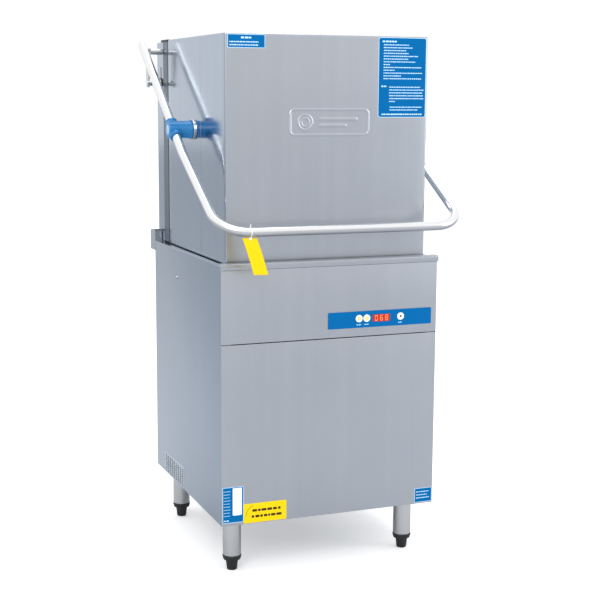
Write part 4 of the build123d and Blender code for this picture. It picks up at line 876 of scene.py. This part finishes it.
def build_hood_films():
    """Two blue films with a pale margin line and rows of plain dashes."""
    face = corners_of("hood_labels")[1][1]
    rng = np.random.default_rng(7)
    small = ((-0.288, 1.441), (-0.1835, 1.4765))
    large = ((0.146, 1.260), (0.291, 1.4765))
    sheets, margins = [], []
    for ((x0, z0), (x1, z1)), corner in ((small, 1 * MM), (large, 7 * MM)):
        margins.append(film((x0, face - FILM * 0.6, z0), (x1, face, z1), corner))
        line = 1.3 * MM
        inner = max(corner - line, 0.5 * MM)
        sheets.append(film((x0 + line, face - FILM, z0 + line), (x1 - line, face, z1 - line), inner))
    piece("hood_films", sheets, "blue_film", "hood", "hood_labels")
    piece("film_margins", margins, "pale_ink", "hood", None)
    ink_face = face - FILM
    rows = dashes(-0.251, -0.216, 1.4675, 4.6 * MM, ink_face, rng, 0, 1.0)
    rows += dashes(-0.2825, -0.190, 1.4565, 3.0 * MM, ink_face, rng)
    rows += dashes(-0.2825, -0.190, 1.4485, 3.0 * MM, ink_face, rng)
    left, right = 0.157, 0.282
    rows += dashes(left, left + 0.045, 1.4655, 4.4 * MM, ink_face, rng, 0, 0.95)
    shares = (0.66, 0.74, 0.56, 0.62, 0.86, 0.62, 0.8, 0.16, 0.97, 0.28, 0.97, 0.44, 0.95)
    for i, share in enumerate(shares):
        rows += dashes(left + 4 * MM, right, 1.4565 - i * 7.6 * MM, 2.6 * MM, ink_face, rng, 0, share)
    rows += dashes(left - 2 * MM, left + 0.016, 1.3445, 4.0 * MM, ink_face, rng, 0, 1.0)
    for i, share in enumerate((0.9, 1.0, 1.0, 1.0, 1.0, 0.2)):
        rows += dashes(left + 0.022, right + 2 * MM, 1.3425 - i * 7.8 * MM, 2.6 * MM, ink_face, rng, 0, share)
    for i, share in enumerate((0.95, 0.85)):
        rows += dashes(left + 0.024, right + 2 * MM, 1.2880 - i * 7.6 * MM, 2.6 * MM, ink_face, rng, 0, share)
    rows += dashes(left, right, 1.2685, 3.6 * MM, ink_face, rng, 0, 0.98)
    piece("hood_film_print", rows, "pale_ink", "hood", None)


def build_base_films():
    """Blue film with a white column, yellow strip with a curved mark, small blue square, data plate."""
    x = corners_of("base_labels")[0][0]
    face = corners_of("front_panel_lower")[0][1]
    rng = np.random.default_rng(11)
    line = 1.2 * MM
    tall, square = ((-0.3175, 0.163), (-0.2572, 0.264)), ((0.263, 0.159), (0.318, 0.201))
    blues, edges = [], []
    for (x0, z0), (x1, z1) in (tall, square):
        edges.append(film((x0, face - FILM * 0.6, z0), (x1, face, z1), 1 * MM))
        blues.append(film((x0 + line, face - FILM, z0 + line), (x1 - line, face, z1 - line), 0.8 * MM))
    piece("base_films", blues, "blue_film", "cabinet", "base_labels")
    piece("base_film_edges", edges, "pale_ink", "cabinet", None)
    white = [film((-0.2885, face - FILM - INK, 0.184), (-0.2625, face, 0.2605), 0.6 * MM)]
    piece("white_column", white, "white_ink", "cabinet", None)
    rows = []
    for i in range(9):
        z = 0.2525 - i * 8.6 * MM
        rows += dashes(-0.3145, -0.292, z, 1.5 * MM, face - FILM, rng, 0, 0.85)
        rows += dashes(-0.285, -0.2655, z, 1.5 * MM, face - FILM - INK, rng, 0, 0.85)
    rows += dashes(-0.3145, -0.300, 0.170, 3.4 * MM, face - FILM, rng, 0, 1.0)
    rows += dashes(0.268, 0.312, 0.190, 2.4 * MM, face - FILM, rng, 0, 0.9)
    rows += dashes(0.268, 0.312, 0.181, 2.4 * MM, face - FILM, rng, 0, 0.8)
    rows += dashes(0.268, 0.312, 0.172, 2.4 * MM, face - FILM, rng, 0, 0.95)
    piece("base_film_print", rows, "pale_ink", "cabinet", None)
    strip = [film((-0.257, face - FILM, 0.157), (-0.132, face, 0.212), 0.8 * MM)]
    piece("yellow_strip", strip, "yellow_film", "cabinet", None)
    marks = dashes(-0.232, -0.146, 0.1915, 7.0 * MM, face - FILM, rng, 0, 1.0)
    marks += dashes(-0.234, -0.146, 0.1745, 7.0 * MM, face - FILM, rng, 0, 1.0)
    angle = np.radians(np.linspace(100, 172, 16))
    across, up = -0.225 + 0.026 * np.cos(angle), 0.172 + 0.034 * np.sin(angle)
    sweep = np.stack([across, np.full(16, face - FILM), up], -1)
    marks.append(tube(sweep, 0.5 * MM, Y_AXIS, 8))
    piece("strip_print", marks, "black_ink", "cabinet", None)
    plate = slab((x - 0.05 * MM, 0.060, 0.157), (x + FILM, 0.265, 0.222), 0, 1 * MM, 0.1 * MM)
    piece("data_plate_film", [plate], "silver_film", "cabinet", None)
    lines = []
    for i in range(10):
        for j in range(9):
            y0 = 0.066 + j * 0.022
            z0 = 0.161 + i * 5.6 * MM
            wide = 0.019 * rng.uniform(0.6, 1)
            end = (x, y0 + wide, z0 + 3 * MM)
            lines.append(slab((x - 0.15 * MM, y0, z0), end, 0, 0.4 * MM, INK_EDGE, 2))
    piece("data_plate_print", lines, "black_ink", "cabinet", None)


# ---- controls -----------------------------------------------------------------------------
BUTTON_NODES = ("button_left", "button_right", "button_start")
WINDOW = ((0.1222, 0.6977), (0.1748, 0.7178))
WINDOW_PROUD = 0.3 * MM


def seven_segments(x, z, wide, tall, digit, face):
    """Lit bars of one display digit: three level and four upright ones."""
    lit = {"0": "abcdef", "6": "acdefg", "8": "abcdefg"}[digit]
    t = wide * 0.2
    h = tall / 2
    far = wide - t
    places = {"a": (0, tall, wide, t), "g": (0, h, wide, t), "d": (0, 0, wide, t), "f": (0, h, t, h),
              "b": (far, h, t, h), "e": (0, 0, t, h), "c": (far, 0, t, h)}
    parts = []
    for name in lit:
        dx, dz, w, height = places[name]
        gap = t * 0.15
        low = (x + dx + gap, face - INK, z + dz + (gap if height == h else -t / 2))
        high = (x + dx + w - gap, face, z + dz + (height - gap if height == h else t / 2))
        parts.append(slab(low, high, 1, t * 0.2, INK_EDGE, 2))
    return parts


def build_display(face):
    """Tinted window with three lit digits."""
    (x0, z0), (x1, z1) = WINDOW
    glass = face - WINDOW_PROUD
    window = slab((x0, glass, z0), (x1, face + 1 * MM, z1), 1, 1.2 * MM, 0.2 * MM)
    piece("display_window", [window], "display_red", "cabinet", "display_board")
    digits = []
    for i, digit in enumerate("068"):
        left = x0 + (6.5 + 15.5 * i) * MM
        digits += seven_segments(left, z0 + 3.4 * MM, 9.0 * MM, 13.4 * MM, digit, glass)
    piece("display_digits", digits, "lit_segments", "cabinet", None)


def start_triangle(x, front, z):
    """Thin three-sided plate that points to the right."""
    icon = np.array([(-2.6, -4.4), (4.6, 0.0), (-2.6, 4.4)]) * MM
    ring = np.stack([x + icon[:, 0], np.full(3, front), z + icon[:, 1]], -1)
    points, faces = lofted(np.stack([ring - (0, INK, 0), ring + (0, 0.2 * MM, 0)]))
    return points, [face[::-1] for face in faces]


def build_controls():
    """Window, digits, button caps and marks of the blue fascia."""
    face = corners_of("control_fascia")[0][1]
    build_display(face)
    cap = np.concatenate([
        [(8.0, 0.0), (9.6, 0.1)], arc((9.8, 0.7), 0.6, 280, 360, 4),
        [(10.4, 1.0), (10.4, 1.7), (9.8, 1.85)]]) * MM
    dot = np.array([(3.4, -0.12), (4.6, -0.12), (5.6, 0.0), (5.6, 0.3), (0.5, 0.3)]) * MM
    marks = []
    rng = np.random.default_rng(5)
    for name in BUTTON_NODES:
        low, high = corners_of(name)
        x, front, z = (low[0] + high[0]) / 2, low[1], (low[2] + high[2]) / 2
        piece(name + "_cap", [turned(cap, (x, front, z), Y_AXIS)], "button_plastic", name, name)
        if name == "button_start":
            piece("start_mark", [start_triangle(x, front, z)], "black_ink", name, None)
        else:
            spot = turned(dot, (x, front, z), Y_AXIS, 32)
            piece(name + "_mark", [spot], "amber_ink", name, None)
        marks += dashes(x - 7 * MM, x + 7 * MM, z - 17.5 * MM, 2.4 * MM, face, rng, 0, 1.0)
    piece("fascia_marks", marks, "pale_ink", "cabinet", None)


# ---- rear ---------------------------------------------------------------------------------
def build_caps():
    """Black end caps over the rails and columns."""
    low, high = corners_of("rail_caps")
    cap = slab((high[0] - 43 * MM, low[1], low[2]), high, 2, 3 * MM, 1.2 * MM)
    piece("end_caps", both(cap), "black_nylon", "cabinet", "rail_caps")


# ---- floor --------------------------------------------------------------------------------
def floor_finish():
    """Pale matt floor; mirrored in the steel it counts as grey, as a darker room would."""
    finish = Finish("pale_floor", Roughness=0.9, Specular_IOR_Level=0.1)
    marks = finish.effect("handling_marks", Size=0.4)
    finish.colour((0.97, 0.97, 0.97), (1.0, 1.0, 1.0), marks["Clouds"])
    path = finish.tree.nodes.new("ShaderNodeLightPath")
    finish.shader.inputs["Emission Color"].default_value = (1.0, 1.0, 1.0, 1.0)
    finish.tree.links.new(maths(finish.tree, "MULTIPLY", path.outputs["Is Camera Ray"], 0.25),
                          finish.shader.inputs["Emission Strength"])
    dimmed = finish.tree.nodes.new("ShaderNodeMix")
    dimmed.data_type = "RGBA"
    dimmed.inputs["A"].default_value = (0.98, 0.98, 0.98, 1.0)
    dimmed.inputs["B"].default_value = (0.58, 0.6, 0.63, 1.0)
    finish.tree.links.new(path.outputs["Is Glossy Ray"], dimmed.inputs["Factor"])
    finish.tree.links.new(dimmed.outputs["Result"], finish.shader.inputs["Base Color"])
    return finish.material


def build_floor():
    """Flat sheet 60 m wide, pale, at the feet."""
    line = np.linspace(-30.0, 30.0, 13)
    points = np.stack(np.broadcast_arrays(line[None, :], line[:, None], np.zeros((1, 1))), -1).reshape(-1, 3)
    mesh = bpy.data.meshes.new("floor")
    mesh.from_pydata(points.tolist(), [], grid_faces(13, 13))
    mesh.materials.append(floor_finish())
    floor = bpy.data.objects.new("floor", mesh)
    bpy.context.scene.collection.objects.link(floor)


place_camera()
light_studio()
finish_cad_nodes()
build_panels()
build_rim()
build_legs()
build_screws()
build_hood()
build_handle()
build_sleeves()
build_sleeve_end_highlights()
build_springs()
build_tag()
build_hood_films()
build_base_films()
build_controls()
build_caps()
build_floor()
